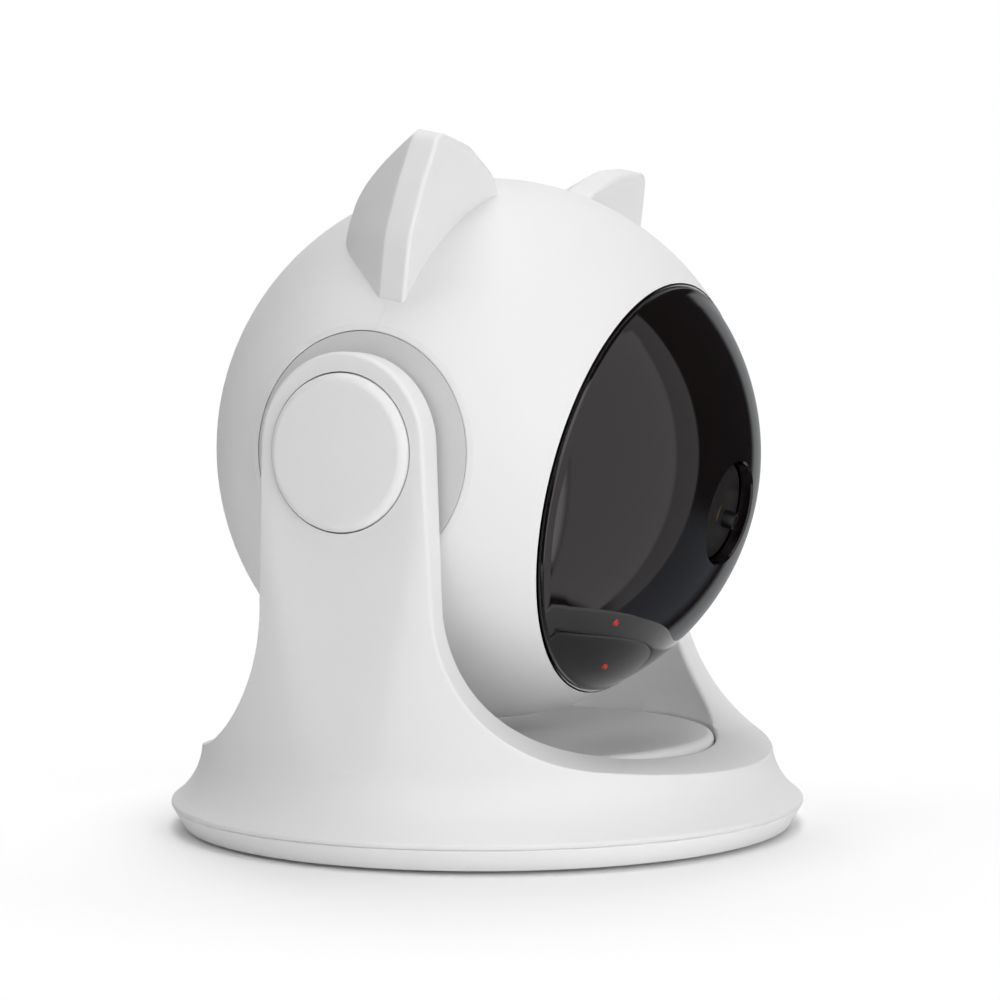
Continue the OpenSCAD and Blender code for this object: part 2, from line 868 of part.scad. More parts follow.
module ear() {
    difference() {
        union() {
            difference() {
                ear_body();
                sphere(r = head_r);
            }
            ear_axis()
                translate([0, 0, inner_r - ear_peg_in + 3])
                    cylinder(r = ear_peg_r, h = ear_peg_in + 2);
        }
        ear_axis()
            translate([0, 0, inner_r - ear_peg_in])
                cylinder(r = 0.9, h = ear_peg_in + 4);
    }
}

module ear_left() {
    color("whitesmoke")
        head_place()
            ear();
}

module ear_right() {
    color("whitesmoke")
        head_place()
            mirror([1, 0, 0])
                ear();
}

module ear_screws() {
    color("silver")
        head_place()
            for (s = [-1, 1])
                on_side(s)
                    mirror([1, 0, 0])
                        ear_axis()
                            translate([0, 0, inner_r - ear_peg_in + 3 - 1.2])
                                screw(6, 0.9, 3, 1.2);
}

// ---------- pivots ----------

module pivot_hub() {
    difference() {
        union() {
            xcyl(hub_r, hub_flange_x, side_x);
            xcyl(hub_flange_r, hub_in_x, hub_flange_x);
            xcyl(trunnion_r, hub_ring_x, trunnion_end);
            translate([hub_in_x, -hub_key_w / 2, -hub_flange_r - hub_key_h + 0.1])
                cube([hub_flange_t, hub_key_w, 2 * (hub_flange_r + hub_key_h) - 0.2]);
        }
        difference() {
            xcyl(hub_r - 2.6, hub_in_x - 1, side_x - 2);
            xcyl(trunnion_r, hub_in_x - 2, side_x);
        }
        xcyl(pilot_r, pivot_screw_x, trunnion_end + 1);
    }
}

module pivot_hub_left() {
    color("gainsboro")
        head_place()
            on_side(-1)
                pivot_hub();
}

module pivot_hub_right() {
    color("gainsboro")
        head_place()
            on_side(1)
                pivot_hub();
}

module friction_washers() {
    color("dimgray")
        head_place()
            for (s = [-1, 1])
                on_side(s)
                    difference() {
                        xcyl(trunnion_r + 4, side_x, arm_in_x);
                        xcyl(trunnion_r + run_clear, side_x - 1, arm_in_x + 1);
                    }
}

module pivot_washers() {
    color("silver")
        head_place()
            for (s = [-1, 1])
                on_side(s)
                    difference() {
                        xcyl(pivot_washer_r, trunnion_end, trunnion_end + pivot_washer_t);
                        xcyl(screw_clear_r, trunnion_end - 1, trunnion_end + 2);
                    }
}

module pivot_screws() {
    color("silver")
        head_place()
            for (s = [-1, 1])
                on_side(s)
                    translate([trunnion_end + pivot_washer_t + screw_head_t, 0, 0])
                        rotate([0, -90, 0])
                            screw(trunnion_end + pivot_washer_t - pivot_screw_x - 0.4);
}

module shell_screws() {
    color("silver")
        head_place()
            for (x = [-shell_screw_at, shell_screw_at])
                for (z = [-shell_screw_at, shell_screw_at])
                    screw_forward(shell_head_y, shell_head_y - seam_y + 9, x, z);
}

// ---------- visor and indicator lights ----------

module visor() {
    color("black")
    head_place()
    difference() {
        union() {
            intersection() {
                translate([0, dome_y, 0])
                    sphere(r = dome_r);
                ycyl(visor_r, -head_r - 5, visor_y);
            }
            ycyl(visor_r, visor_y - eps, visor_seat_y);
        }
        translate([0, dome_y, 0])
            sphere(r = dome_r - visor_t);
        ycyl(visor_in_r, visor_y, visor_seat_y + 1);
        ycyl(port_r, -head_r - 5, 0);
        for (p = lamp_spots)
            ycyl(pipe_r, -head_r, 0, p[0], p[1]);
    }
}

function led_top() = board_y - led_t;

module light_pipes() {
    color("red")
        head_place()
            intersection() {
                for (p = lamp_spots)
                    ycyl(pipe_r, -head_r, led_top(), p[0], p[1]);
                translate([0, dome_y, 0])
                    sphere(r = dome_r);
            }
}

// The small crescent board behind the lower left of the visor
module indicator_board() {
    color("darkgreen")
    head_place()
    difference() {
        intersection() {
            ycyl(board_r, board_y, board_y + board_t);
            rotate([0, -board_dir, 0])
                translate([board_in, board_y - 1, -board_half])
                    cube([30, 5, 2 * board_half]);
        }
        board_screws_at(board_y - 1, board_y + 3, screw_clear_r);
    }
}

module board_screws_at(y0, y1, r) {
    for (d = [-1, 1])
        rotate([0, -board_dir, 0])
            translate([board_screw_at, 0, d * (board_half - 2.6)])
                ycyl(r, y0, y1);
}

module indicator_leds() {
    color("lightyellow")
        head_place()
            for (p = lamp_spots)
                centred_box(led_w, led_w, board_y - led_t, board_y, p[0], p[1]);
}

module indicator_screws() {
    color("silver")
        head_place()
            for (d = [-1, 1])
                rotate([0, -board_dir, 0])
                    translate([board_screw_at, board_y - 1, d * (board_half - 2.6)])
                        rotate([-90, 0, 0])
                            screw(5, screw_r, 2.1, 1);
}

// ---------- chassis ----------

module chassis() {
    color("dimgray")
    head_place()
    difference() {
        union() {
            intersection() {
                union() {
                    ycyl(chassis_r, chassis_y, chassis_back);
                    for (a = chassis_angles)
                        ycyl(chassis_boss_r + 1.2, chassis_y, chassis_back,
                             chassis_screw_at * cos(a), chassis_screw_at * sin(a));
                }
                sphere(r = inner_r - 0.1);
                translate([-hub_ring_x + 1, -head_r, -head_r])
                    cube([2 * hub_ring_x - 2, head_d, head_d]);
            }
            // bearing of the turret
            ycyl(shaft_r + 2, bearing_front_y, bearing_back_y);
            board_screws_at(board_y + board_t, chassis_y + 0.5, 2.6);
            // rails that hold the battery by its ends
            for (s = [-1, 1])
                on_side(s) {
                    translate([rail_x, chassis_y + 0.5, -rail_h / 2])
                        cube([rail_t, strap_y - chassis_y - 0.5, rail_h]);
                    translate([rail_x - 3, battery_y - 1.5, -rail_h / 2])
                        cube([3 + rail_t, 1.5, rail_h]);
                }
            // posts above and below the battery for its strap
            for (s = [-1, 1])
                ycyl(rail_boss_r, chassis_y + 0.5, strap_y, strap_x, s * strap_screw_z);
            // block that carries the brushes
            centred_box(9, 8, chassis_back - 0.5, brush_seat_y, 12.5, 0);
        }
        ycyl(shaft_r + run_clear, bearing_front_y - 1, bearing_back_y + 1);
        ycyl(motor_shaft_r + 0.8, chassis_y - 1, chassis_back + 1, 0, motor_z);
        for (a = chassis_angles)
            ycyl(screw_clear_r, chassis_y - 1, chassis_back + 1,
                 chassis_screw_at * cos(a), chassis_screw_at * sin(a));
        board_screws_at(board_y, board_y + board_t + 5, pilot_r);
        for (s = [-1, 1]) {
            ycyl(pilot_r, strap_y - 8, strap_y + 1, strap_x, s * strap_screw_z);
            ycyl(pilot_r, chassis_back - 2, chassis_back + 1, s * clamp_screw_x, motor_z);
        }
        ycyl(pilot_r, brush_seat_y - 5, brush_seat_y + 1, 14.5, 0);
    }
}

module chassis_screws() {
    color("silver")
        head_place()
            for (a = chassis_angles)
                screw_forward(chassis_back, chassis_t + 4,
                              chassis_screw_at * cos(a), chassis_screw_at * sin(a));
}

module gear_motor() {
    color("silver")
    head_place()
    difference() {
        union() {
            centred_box(gearbox_w, gearbox_h, chassis_back, chassis_back + gearbox_l,
                        0, motor_z);
            intersection() {
                ycyl(gearbox_w / 2, chassis_back + gearbox_l - eps,
                     chassis_back + gearbox_l + can_l, 0, motor_z);
                centred_box(gearbox_w, gearbox_h, chassis_back,
                            chassis_back + 2 * (gearbox_l + can_l), 0, motor_z);
            }
            ycyl(2, chassis_back + gearbox_l + can_l - eps,
                 chassis_back + gearbox_l + can_l + motor_tail, 0, motor_z);
        }
        ycyl(motor_shaft_r + run_clear, chassis_back - 1, chassis_back + 6, 0, motor_z);
    }
}

module motor_clamp() {
    color("dimgray")
    head_place()
    difference() {
        union() {
            centred_box(gearbox_w + 2 * clamp_t, gearbox_h + 2 * clamp_t, chassis_back,
                        chassis_back + 6, 0, motor_z);
            centred_box(2 * clamp_screw_x + 6, 6.4, chassis_back, chassis_back + 1.6,
                        0, motor_z);
        }
        centred_box(gearbox_w, gearbox_h, chassis_back - 1, chassis_back + 10, 0, motor_z);
        for (s = [-1, 1])
            ycyl(screw_clear_r, chassis_back - 1, chassis_back + 3,
                 s * clamp_screw_x, motor_z);
    }
}

module motor_clamp_screws() {
    color("silver")
        head_place()
            for (s = [-1, 1])
                screw_forward(chassis_back + 1.6, 3.2, s * clamp_screw_x, motor_z);
}

// Holder of the two sliding contacts that feed the turning laser
module brush_block() {
    color("black")
    head_place()
    difference() {
        centred_box(9, 8, brush_seat_y, brush_seat_y + 6.5, 12.5, 0);
        brush_pair();
        ycyl(screw_clear_r, brush_seat_y - 1, brush_seat_y + 8, 14.5, 0);
        ycyl(screw_head_r + 0.2, brush_seat_y + 4, brush_seat_y + 8, 14.5, 0);
    }
}

module brush_pair() {
    for (i = [0, 1])
        translate([shaft_r + ring_t + brush_gap, ring_y + i * ring_pitch, -1])
            cube([6, ring_w * 0.8, brush_w]);
    for (i = [0, 1])
        translate([shaft_r + ring_t + brush_gap, ring_y + i * ring_pitch, -3])
            cube([brush_w, ring_w * 0.8, 6]);
}

module brush_contacts() {
    color("gold")
        head_place()
            brush_pair();
}

module brush_screw() {
    color("silver")
        head_place()
            screw_forward(brush_seat_y + 4, 8, 14.5, 0);
}

// ---------- battery ----------

module battery() {
    color("silver")
        head_place()
            centred_box(battery_w, battery_h, battery_y, battery_y + battery_t);
}

module battery_strap() {
    color("dimgray")
    head_place()
    difference() {
        centred_box(strap_w, 2 * strap_screw_z + 2 * rail_boss_r, strap_y,
                    strap_y + strap_t, strap_x);
        for (s = [-1, 1])
            ycyl(screw_clear_r, strap_y - 1, strap_y + 5, strap_x, s * strap_screw_z);
    }
}

module battery_strap_screws() {
    color("silver")
        head_place()
            for (s = [-1, 1])
                screw_forward(strap_y + strap_t, strap_t + 6, strap_x, s * strap_screw_z);
}

// ---------- control board, port and switch ----------

module at_rear_posts() {
    for (x = [-rear_post_x, rear_post_x])
        for (z = [-rear_post_z, rear_post_z])
            translate([x, 0, z])
                children();
}

module control_board() {
    color("darkgreen")
    head_place()
    difference() {
        union() {
            centred_box(rear_board_w, rear_board_h, rear_board_y, rear_back);
            // driver chip and two capacitors on the inner side
            centred_box(9, 7, rear_board_y - 1.6, rear_board_y + eps, -2, 3);
            ycyl(2.5, rear_board_y - 5, rear_board_y + eps, 8, -6);
            ycyl(2.5, rear_board_y - 5, rear_board_y + eps, -9, -9);
        }
        at_rear_posts()
            ycyl(screw_clear_r, rear_board_y - 1, rear_back + 1);
    }
}

module control_board_screws() {
    color("silver")
        head_place()
            at_rear_posts()
                translate([0, rear_board_y - 1.2, 0])
                    rotate([-90, 0, 0])
                        screw(rear_board_t + 4, screw_r, 2.2, 1.2);
}

module usb_c_port() {
    color("silver")
    head_place()
    difference() {
        usb_slot(usb_w / 2, usb_h / 2, rear_back, rear_back + usb_len);
        difference() {
            usb_slot(usb_w / 2 - usb_wall, usb_h / 2 - usb_wall, rear_back + 3,
                     rear_back + usb_len + 1);
            centred_box(6, 0.8, rear_back + 2, rear_back + usb_len - 1, 0, -port_drop);
        }
    }
}

module tact_switch() {
    color("black")
    head_place()
    difference() {
        centred_box(tact_w, tact_w, rear_back, rear_back + tact_t, 0, button_z);
        ycyl(plunger_r + run_clear, rear_back + switch_floor, rear_back + tact_t + 1,
             0, button_z);
    }
}

plunger_top = rear_back + tact_t + plunger_len;

module switch_plunger() {
    color("black")
        head_place()
            ycyl(plunger_r, rear_back + switch_floor + 2 * button_travel, plunger_top,
                 0, button_z);
}

module power_button() {
    color("whitesmoke")
        head_place() {
            ycyl(button_r, button_stop_y - eps, button_top, 0, button_z);
            ycyl(button_flange_r, button_stop_y - button_flange_t, button_stop_y, 0, button_z);
            ycyl(2.4, plunger_top, button_stop_y, 0, button_z);
        }
}

// ---------- turret ----------

// Stands at the nozzle's tip, its -Y axis along the laser beam
module beam_place() {
    rotate([0, -nozzle_dir, 0])
        translate([nozzle_off, nozzle_tip_y, 0])
            rotate([0, 0, beam_tilt])
                children();
}

module laser_turret() {
    color("dimgray")
    head_place()
    difference() {
        union() {
            ycyl(turret_r, turret_face_y, turret_face_y + turret_disc_t);
            ycyl(drum_r, turret_face_y + turret_disc_t - eps, gear_front_y);
        }
        beam_place() {
            ycyl(laser_r, laser_front, laser_front + laser_len + 20);
            ycyl(nozzle_r, -5, laser_front + 1);
        }
    }
}

module laser_module() {
    color("goldenrod")
        head_place()
            beam_place()
                ycyl(laser_r, laser_front, laser_front + laser_len);
}

module laser_nozzle() {
    color("black")
    head_place()
    beam_place()
    difference() {
        ycyl(nozzle_r, 0, laser_front);
        ycyl(nozzle_r - 0.45, -1, laser_front + 1);
    }
}

module laser_lens() {
    color("red")
        head_place()
            beam_place()
                ycyl(nozzle_r - 0.45, 0.3, 0.3 + lens_t);
}

module turret_gear() {
    color("ivory")
    head_place()
    difference() {
        union() {
            translate([0, gear_front_y, 0])
                rotate([-90, 0, 0])
                    linear_extrude(gear_w)
                        rotate(90)
                            gear_2d(turret_teeth, 0.16);
            ycyl(shaft_r, gear_back_y - eps, shaft_end_y);
        }
        ycyl(wire_r, gear_front_y - 1, shaft_end_y + 1);
        difference() {
            ycyl(shaft_r + 1, clip_y, clip_y + clip_t);
            ycyl(shaft_r - clip_groove, clip_y - 1, clip_y + clip_t + 1);
        }
    }
}

module turret_clip() {
    color("silver")
    head_place()
    difference() {
        ycyl(shaft_r + 1.5, clip_y, clip_y + clip_t);
        ycyl(shaft_r - clip_groove, clip_y - 1, clip_y + clip_t + 1);
        translate([-shaft_r * 0.55, clip_y - 1, -10])
            cube([shaft_r * 1.1, clip_t + 2, 10]);
    }
}

module slip_rings() {
    color("gold")
    head_place()
    for (i = [0, 1])
        difference() {
            ycyl(shaft_r + ring_t, ring_y + i * ring_pitch, ring_y + i * ring_pitch + ring_w);
            ycyl(shaft_r, ring_y - 1, ring_y + 10);
        }
}

// ---------- pinion ----------

module motor_shaft() {
    color("silver")
        head_place()
            ycyl(motor_shaft_r, gear_front_y, chassis_back + 5.5, 0, motor_z);
}

module drive_pinion() {
    color("ivory")
    head_place()
    difference() {
        union() {
            translate([0, gear_front_y, motor_z])
                rotate([-90, 0, 0])
                    linear_extrude(gear_w)
                        rotate(90 + 180 / pinion_teeth)
                            gear_2d(pinion_teeth, 0.16);
            ycyl(2.6, gear_back_y - eps, gear_back_y + 2, 0, motor_z);
        }
        ycyl(motor_shaft_r, gear_front_y - 1, gear_back_y + 3, 0, motor_z);
    }
}

base_shell();
cradle_liner();
base_plate();
ballast_plate();
anti_slip_feet();
base_screws();
pivot_cap_left();
pivot_cap_right();
head_front_shell();
head_rear_shell();
ear_left();
ear_right();
ear_screws();
pivot_hub_left();
pivot_hub_right();
friction_washers();
pivot_washers();
pivot_screws();
shell_screws();
visor();
light_pipes();
indicator_board();
indicator_leds();
indicator_screws();
chassis();
chassis_screws();
gear_motor();
motor_clamp();
motor_clamp_screws();
brush_block();
brush_contacts();
brush_screw();
battery();
battery_strap();
battery_strap_screws();
control_board();
control_board_screws();
usb_c_port();
tact_switch();
laser_turret();
laser_module();
laser_nozzle();
laser_lens();
turret_gear();
turret_clip();
slip_rings();
motor_shaft();
drive_pinion();
power_button();
switch_plunger();
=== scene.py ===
import math

import bpy
import numpy as np
from mathutils import Matrix, Vector


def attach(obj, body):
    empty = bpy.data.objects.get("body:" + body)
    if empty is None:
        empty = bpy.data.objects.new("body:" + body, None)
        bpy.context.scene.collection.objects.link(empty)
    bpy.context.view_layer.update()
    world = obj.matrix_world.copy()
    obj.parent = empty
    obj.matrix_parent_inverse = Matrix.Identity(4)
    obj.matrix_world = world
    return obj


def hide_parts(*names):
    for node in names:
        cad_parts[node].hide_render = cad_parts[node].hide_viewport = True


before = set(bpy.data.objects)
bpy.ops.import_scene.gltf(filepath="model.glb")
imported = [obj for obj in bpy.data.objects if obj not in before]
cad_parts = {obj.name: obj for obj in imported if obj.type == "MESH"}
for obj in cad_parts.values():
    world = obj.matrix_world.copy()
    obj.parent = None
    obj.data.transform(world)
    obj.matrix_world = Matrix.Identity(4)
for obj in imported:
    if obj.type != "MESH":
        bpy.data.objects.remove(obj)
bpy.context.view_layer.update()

# ---------------------------------------------------------------------------
# Base shell: one white satin moulding, the round bell with both arms. The
# photo shows no seam where the arms rise from the lip, only soft edges.
# ---------------------------------------------------------------------------


def rounded(points, radii, steps=6):
    """The 2-D polyline with corner i replaced by an arc of radii[i]: an arc about
    the point at distance r from both sides, from tangent point to tangent point."""
    pts = np.asarray(points, float)
    out = [pts[0]]
    for p, q, s, r in zip(pts[:-2], pts[1:-1], pts[2:], radii[1:-1]):
        if r <= 0:
            out.append(q)
            continue
        a, b = (p - q) / np.linalg.norm(p - q), (s - q) / np.linalg.norm(s - q)
        half = 0.5 * math.acos(float(np.clip(a @ b, -1, 1)))
        mid = (a + b) / np.linalg.norm(a + b)
        centre = q + mid * r / math.sin(half)
        u, v = q + a * r / math.tan(half) - centre, q + b * r / math.tan(half) - centre
        turn = math.acos(float(np.clip(u @ v / (r * r), -1, 1)))
        t = np.linspace(0, 1, steps + 1)[:, None]
        out.extend(centre + (np.sin((1 - t) * turn) * u + np.sin(t * turn) * v) / math.sin(turn))
    out.append(pts[-1])
    return np.array(out)


def quads(rows, cols, ring_rows=False, ring_cols=True, start=0):
    """Faces between the vertices of a rows x cols grid, numbered row by row."""
    i, j = np.meshgrid(
        np.arange(rows if ring_rows else rows - 1),
        np.arange(cols if ring_cols else cols - 1), indexing="ij")
    k, m = (i + 1) % rows, (j + 1) % cols
    faces = np.stack([i * cols + j, i * cols + m, k * cols + m, k * cols + j], -1)
    return (faces.reshape(-1, 4) + start).tolist()


def lathe(profile, axis="z", turns=256, ring=False):
    """Surface of revolution (r cos a, r sin a, h) of the profile's points (r, h),
    h along the named axis. Ends with r = 0 become one vertex each."""
    prof = np.asarray(profile, float)
    first, last = prof[0, 0] < 1e-9, prof[-1, 0] < 1e-9
    body = prof[1 if first else 0: len(prof) - 1 if last else len(prof)]
    a = np.arange(turns) * 2 * math.pi / turns
    r, h = body[:, :1], body[:, 1:]
    grid = np.stack([r * np.cos(a), r * np.sin(a), h + 0 * a], -1).reshape(-1, 3)
    faces = quads(len(body), turns, ring_rows=ring)
    verts = [grid]
    count = len(grid)
    ends = [(first, prof[0, 1], 0), (last, prof[-1, 1], count - turns)]
    for closed, height, at in ends:
        if closed:
            verts.append(np.array([[0, 0, height]]))
            order = np.arange(turns)
            tri = np.stack([order + at, (order + 1) % turns + at,
                            np.full(turns, count)], -1)
            faces += (tri if at else tri[:, ::-1]).tolist()
            count += 1
    v = np.concatenate(verts)
    if axis == "x":
        v = v[:, [2, 0, 1]]
    if axis == "y":
        v = v[:, [1, 2, 0]]
    return v, faces


def joined(parts):
    """Several (vertices, faces) as one pair."""
    verts, faces, count = [], [], 0
    for v, f in parts:
        verts.append(v)
        faces += [[i + count for i in face] for face in f]
        count += len(v)
    return np.concatenate(verts), faces


head_pitch, head_z = 13, 59.2


def head(v):
    """Points of the head's own frame, forward along -Y, in the row frame: turned
    down by the head's pitch about X and lifted to the axle's height."""
    c, s = math.cos(math.radians(head_pitch)), math.sin(math.radians(head_pitch))
    v = np.asarray(v, float)
    return np.stack([v[:, 0], v[:, 1] * c - v[:, 2] * s,
                     v[:, 1] * s + v[:, 2] * c + head_z], -1)


def solid(name, v, faces):
    """A closed mesh object from vertices in mm, its faces turned outward."""
    tri = np.array([(f[0], f[k], f[k + 1]) for f in faces for k in range(1, len(f) - 1)])
    p = v[tri]
    volume = np.einsum("ij,ij->i", p[:, 0], np.cross(p[:, 1], p[:, 2])).sum()
    if volume < 0:
        faces = [f[::-1] for f in faces]
    mesh = bpy.data.meshes.new(name)
    mesh.from_pydata((v * 0.001).tolist(), [], faces)
    mesh.update()
    obj = bpy.data.objects.new(name, mesh)
    bpy.context.scene.collection.objects.link(obj)
    return obj


def cut(obj, v, faces, how="DIFFERENCE"):
    """Cuts the solid (v, faces) out of obj with an exact Boolean."""
    tool = solid("tool", v, faces)
    step = obj.modifiers.new("cut", "BOOLEAN")
    step.operation, step.solver, step.object = how, "EXACT", tool
    graph = bpy.context.evaluated_depsgraph_get()
    mesh = bpy.data.meshes.new_from_object(obj.evaluated_get(graph))
    obj.modifiers.clear()
    old = obj.data
    obj.data = mesh
    bpy.data.meshes.remove(old)
    bpy.data.meshes.remove(tool.data)
    mesh.name = obj.name


def shade(obj, angle=32, ball=None):
    """Smooth shading, sharp where faces meet at more than angle. ball = (centre, r)
    gives faces on that sphere their exact normals."""
    mesh = obj.data
    mesh.shade_smooth()
    mesh.set_sharp_from_angle(angle=math.radians(angle))
    if ball is None:
        return
    centre, radius = np.array(ball[0]) * 0.001, ball[1] * 0.001
    co = np.empty(len(mesh.vertices) * 3)
    mesh.vertices.foreach_get("co", co)
    away = co.reshape(-1, 3) - centre
    dist = np.linalg.norm(away, axis=1)
    on = np.abs(dist - radius) < 4e-6
    loop_vert = np.empty(len(mesh.loops), np.int32)
    mesh.loops.foreach_get("vertex_index", loop_vert)
    starts = np.empty(len(mesh.polygons), np.int32)
    mesh.polygons.foreach_get("loop_start", starts)
    whole = np.minimum.reduceat(on[loop_vert].astype(int), starts) > 0
    sizes = np.diff(np.append(starts, len(loop_vert)))
    normals = np.array([c.vector[:] for c in mesh.corner_normals])
    pick = np.repeat(whole, sizes)
    normals[pick] = (away / dist[:, None])[loop_vert[pick]]
    mesh.normals_split_custom_set(normals.tolist())


def finish_material(name, colour, rough, spread=0.012, metal=0.0, coat=0.0, bump=0.02,
                    grain=2600.0, cloud=45.0, specular=0.5, other=None):
    """A material from noise on Object coordinates: slow noise shifts the colour by
    spread and the roughness a little, fine noise gives the surface its grain."""
    mat = bpy.data.materials.new(name)
    mat.use_nodes = True
    tree = mat.node_tree
    tree.nodes.clear()
    out = tree.nodes.new("ShaderNodeOutputMaterial")
    shader = tree.nodes.new("ShaderNodeBsdfPrincipled")
    coord = tree.nodes.new("ShaderNodeTexCoord")
    slow, fine = tree.nodes.new("ShaderNodeTexNoise"), tree.nodes.new("ShaderNodeTexNoise")
    slow.inputs["Scale"].default_value = cloud
    slow.inputs["Detail"].default_value = 3
    fine.inputs["Scale"].default_value = grain
    fine.inputs["Detail"].default_value = 2
    tint = tree.nodes.new("ShaderNodeMix")
    tint.data_type = "RGBA"
    low = [c * (1 - spread) for c in colour]
    high = [min(c * (1 + spread), 1) for c in colour]
    tint.inputs[6].default_value = (*low, 1)
    tint.inputs[7].default_value = (*high, 1)
    polish = tree.nodes.new("ShaderNodeMapRange")
    polish.inputs["To Min"].default_value = rough * 0.92
    polish.inputs["To Max"].default_value = min(rough * 1.08, 1)
    relief = tree.nodes.new("ShaderNodeBump")
    relief.inputs["Strength"].default_value = bump
    relief.inputs["Distance"].default_value = 0.0001
    link = tree.links.new
    link(coord.outputs["Object"], slow.inputs["Vector"])
    link(coord.outputs["Object"], fine.inputs["Vector"])
    link(slow.outputs["Fac"], tint.inputs[0])
    link(slow.outputs["Fac"], polish.inputs["Value"])
    link(fine.outputs["Fac"], relief.inputs["Height"])
    link(tint.outputs[2], shader.inputs["Base Color"])
    link(polish.outputs["Result"], shader.inputs["Roughness"])
    link(relief.outputs["Normal"], shader.inputs["Normal"])
    link(shader.outputs["BSDF"], out.inputs["Surface"])
    shader.inputs["Metallic"].default_value = metal
    shader.inputs["Coat Weight"].default_value = coat
    shader.inputs["Specular IOR Level"].default_value = specular
    for key, value in (other or {}).items():
        shader.inputs[key].default_value = value
    return mat


def dress(obj, mat, body, slot, *nodes):
    """Material, body and the CAD nodes it stands for, for one piece; slot is not used."""
    obj.data.materials.clear()
    obj.data.materials.append(mat)
    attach(obj, body)
    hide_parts(*nodes)


white = finish_material("white satin plastic", (0.80, 0.80, 0.80), 0.42, bump=0.015)

lip_z, lip_edge_z, axle_z, lip_r = 13.65, 11.65, head_z, 45.1
flare_r = 11.087
lip_tilt, taper, sweep_r, arm_w = math.radians(9.6), math.radians(2.4), 24.0, 13.7
top_z = 60.0
cradle_r, cradle_top, cradle_low, ledge_low = 36, 14.387, 11.987, 9.987
cup_r, cup_rise, arm_in_x = 36.3, 28.8, 39.3


def smooth_min(a, b, k):
    """The smaller of a and b with a rounding k wide where they cross."""
    h = np.clip(0.5 + 0.5 * (b - a) / k, 0, 1)
    return b * (1 - h) + a * h - k * h * (1 - h)


def bell_r(z):
    """Radius of the bell: a quarter circle's sweep below the lip, a slight lean above."""
    drop = np.minimum(z - lip_z, 0)
    flare = lip_r + flare_r - np.sqrt(np.maximum(flare_r ** 2 - drop ** 2, 0))
    return flare + 1.1 * np.clip((z - lip_z) / (axle_z - lip_z), 0, 1)


def outer_wall(theta, z):
    """Outer wall at the angle theta from +X: the bell, pared flat on the arms."""
    flat = lip_r + 2 * np.maximum(lip_z - z, 0) - np.clip((z - lip_z) / 33.1, 0, 1)
    r = smooth_min(bell_r(z), flat / np.maximum(np.cos(theta), 0.02), 0.5)
    return np.stack([r * np.cos(theta), r * np.sin(theta), z + 0 * r], -1)


def inner_wall(theta, z):
    """Inner wall: the cup round the head, with a flat plate inside each arm."""
    up = np.clip(z - cradle_top, 0, cup_rise)
    cup = cup_r + 4 * (1 - np.exp(-up / 4)) + 1.7 * up / cup_rise
    r = smooth_min(cup, arm_in_x / np.maximum(np.cos(theta), 0.02), 0.4)
    return np.stack([r * np.cos(theta), r * np.sin(theta), z + 0 * r], -1)


def wall_normal(wall, theta, z, sign):
    """Unit normal of a wall from its two tangents, sign 1 away from the axis."""
    d = 1e-4
    n = np.cross(wall(theta + d, z) - wall(theta - d, z), wall(theta, z + d) - wall(theta, z - d))
    return sign * n / np.linalg.norm(n, axis=-1, keepdims=True)


def side_outline():
    """Side view of lip and arm from the front of the lip to the arm's top, as dense
    (s, y, z, normal y, normal z): line, sweep arc, tapered side, half circle."""
    a = sweep_r + math.cos(taper) * arm_w + math.sin(taper) * axle_z
    b = sweep_r + math.sin(lip_tilt) * lip_r + math.cos(lip_tilt) * lip_edge_z
    det = math.cos(taper + lip_tilt)
    cy = (a * math.cos(lip_tilt) - b * math.sin(taper)) / det
    cz = (b * math.cos(taper) - a * math.sin(lip_tilt)) / det
    out = []
    y = np.linspace(46.5, cy - sweep_r * math.sin(lip_tilt), 900)
    out.append(np.stack([y, lip_edge_z + (lip_r - y) * math.tan(lip_tilt),
                         0 * y + math.sin(lip_tilt), 0 * y + math.cos(lip_tilt)], -1))
    t = np.linspace(math.pi / 2 - lip_tilt, taper, 1500)[1:]
    out.append(np.stack([cy - sweep_r * np.cos(t), cz - sweep_r * np.sin(t),
                         np.cos(t), np.sin(t)], -1))
    foot = out[-1][-1]
    t = np.linspace(0, 1, 800)[1:]
    out.append(np.stack([foot[0] + (arm_w - foot[0]) * t, foot[1] + (top_z - foot[1]) * t,
                         0 * t + math.cos(taper), 0 * t + math.sin(taper)], -1))
    t = np.linspace(taper, math.pi / 2, 1200)[1:]
    out.append(np.stack([arm_w * np.cos(t), top_z + arm_w * np.sin(t), np.cos(t), np.sin(t)], -1))
    curve = np.concatenate(out)
    step = np.linalg.norm(np.diff(curve[:, :2], axis=0), axis=1)
    return np.concatenate([[0], np.cumsum(step)]), curve


out_s, out_curve = side_outline()


def on_outline(s):
    """(y, z) and the 3-D normal of the outline at s."""
    y, z, ny, nz = (np.interp(s, out_s, out_curve[:, k]) for k in range(4))
    n = np.stack([0 * ny, ny, nz], -1)
    return y, z, n / np.linalg.norm(n, axis=-1, keepdims=True)


def wall_angle(wall, y, z):
    """The angle at which a wall passes through y at height z, by bisection."""
    low, high = np.zeros_like(y), np.full_like(y, math.pi / 2)
    for _ in range(45):
        mid = (low + high) / 2
        over = wall(mid, z)[..., 1] > y
        low, high = np.where(over, low, mid), np.where(over, mid, high)
    return (low + high) / 2


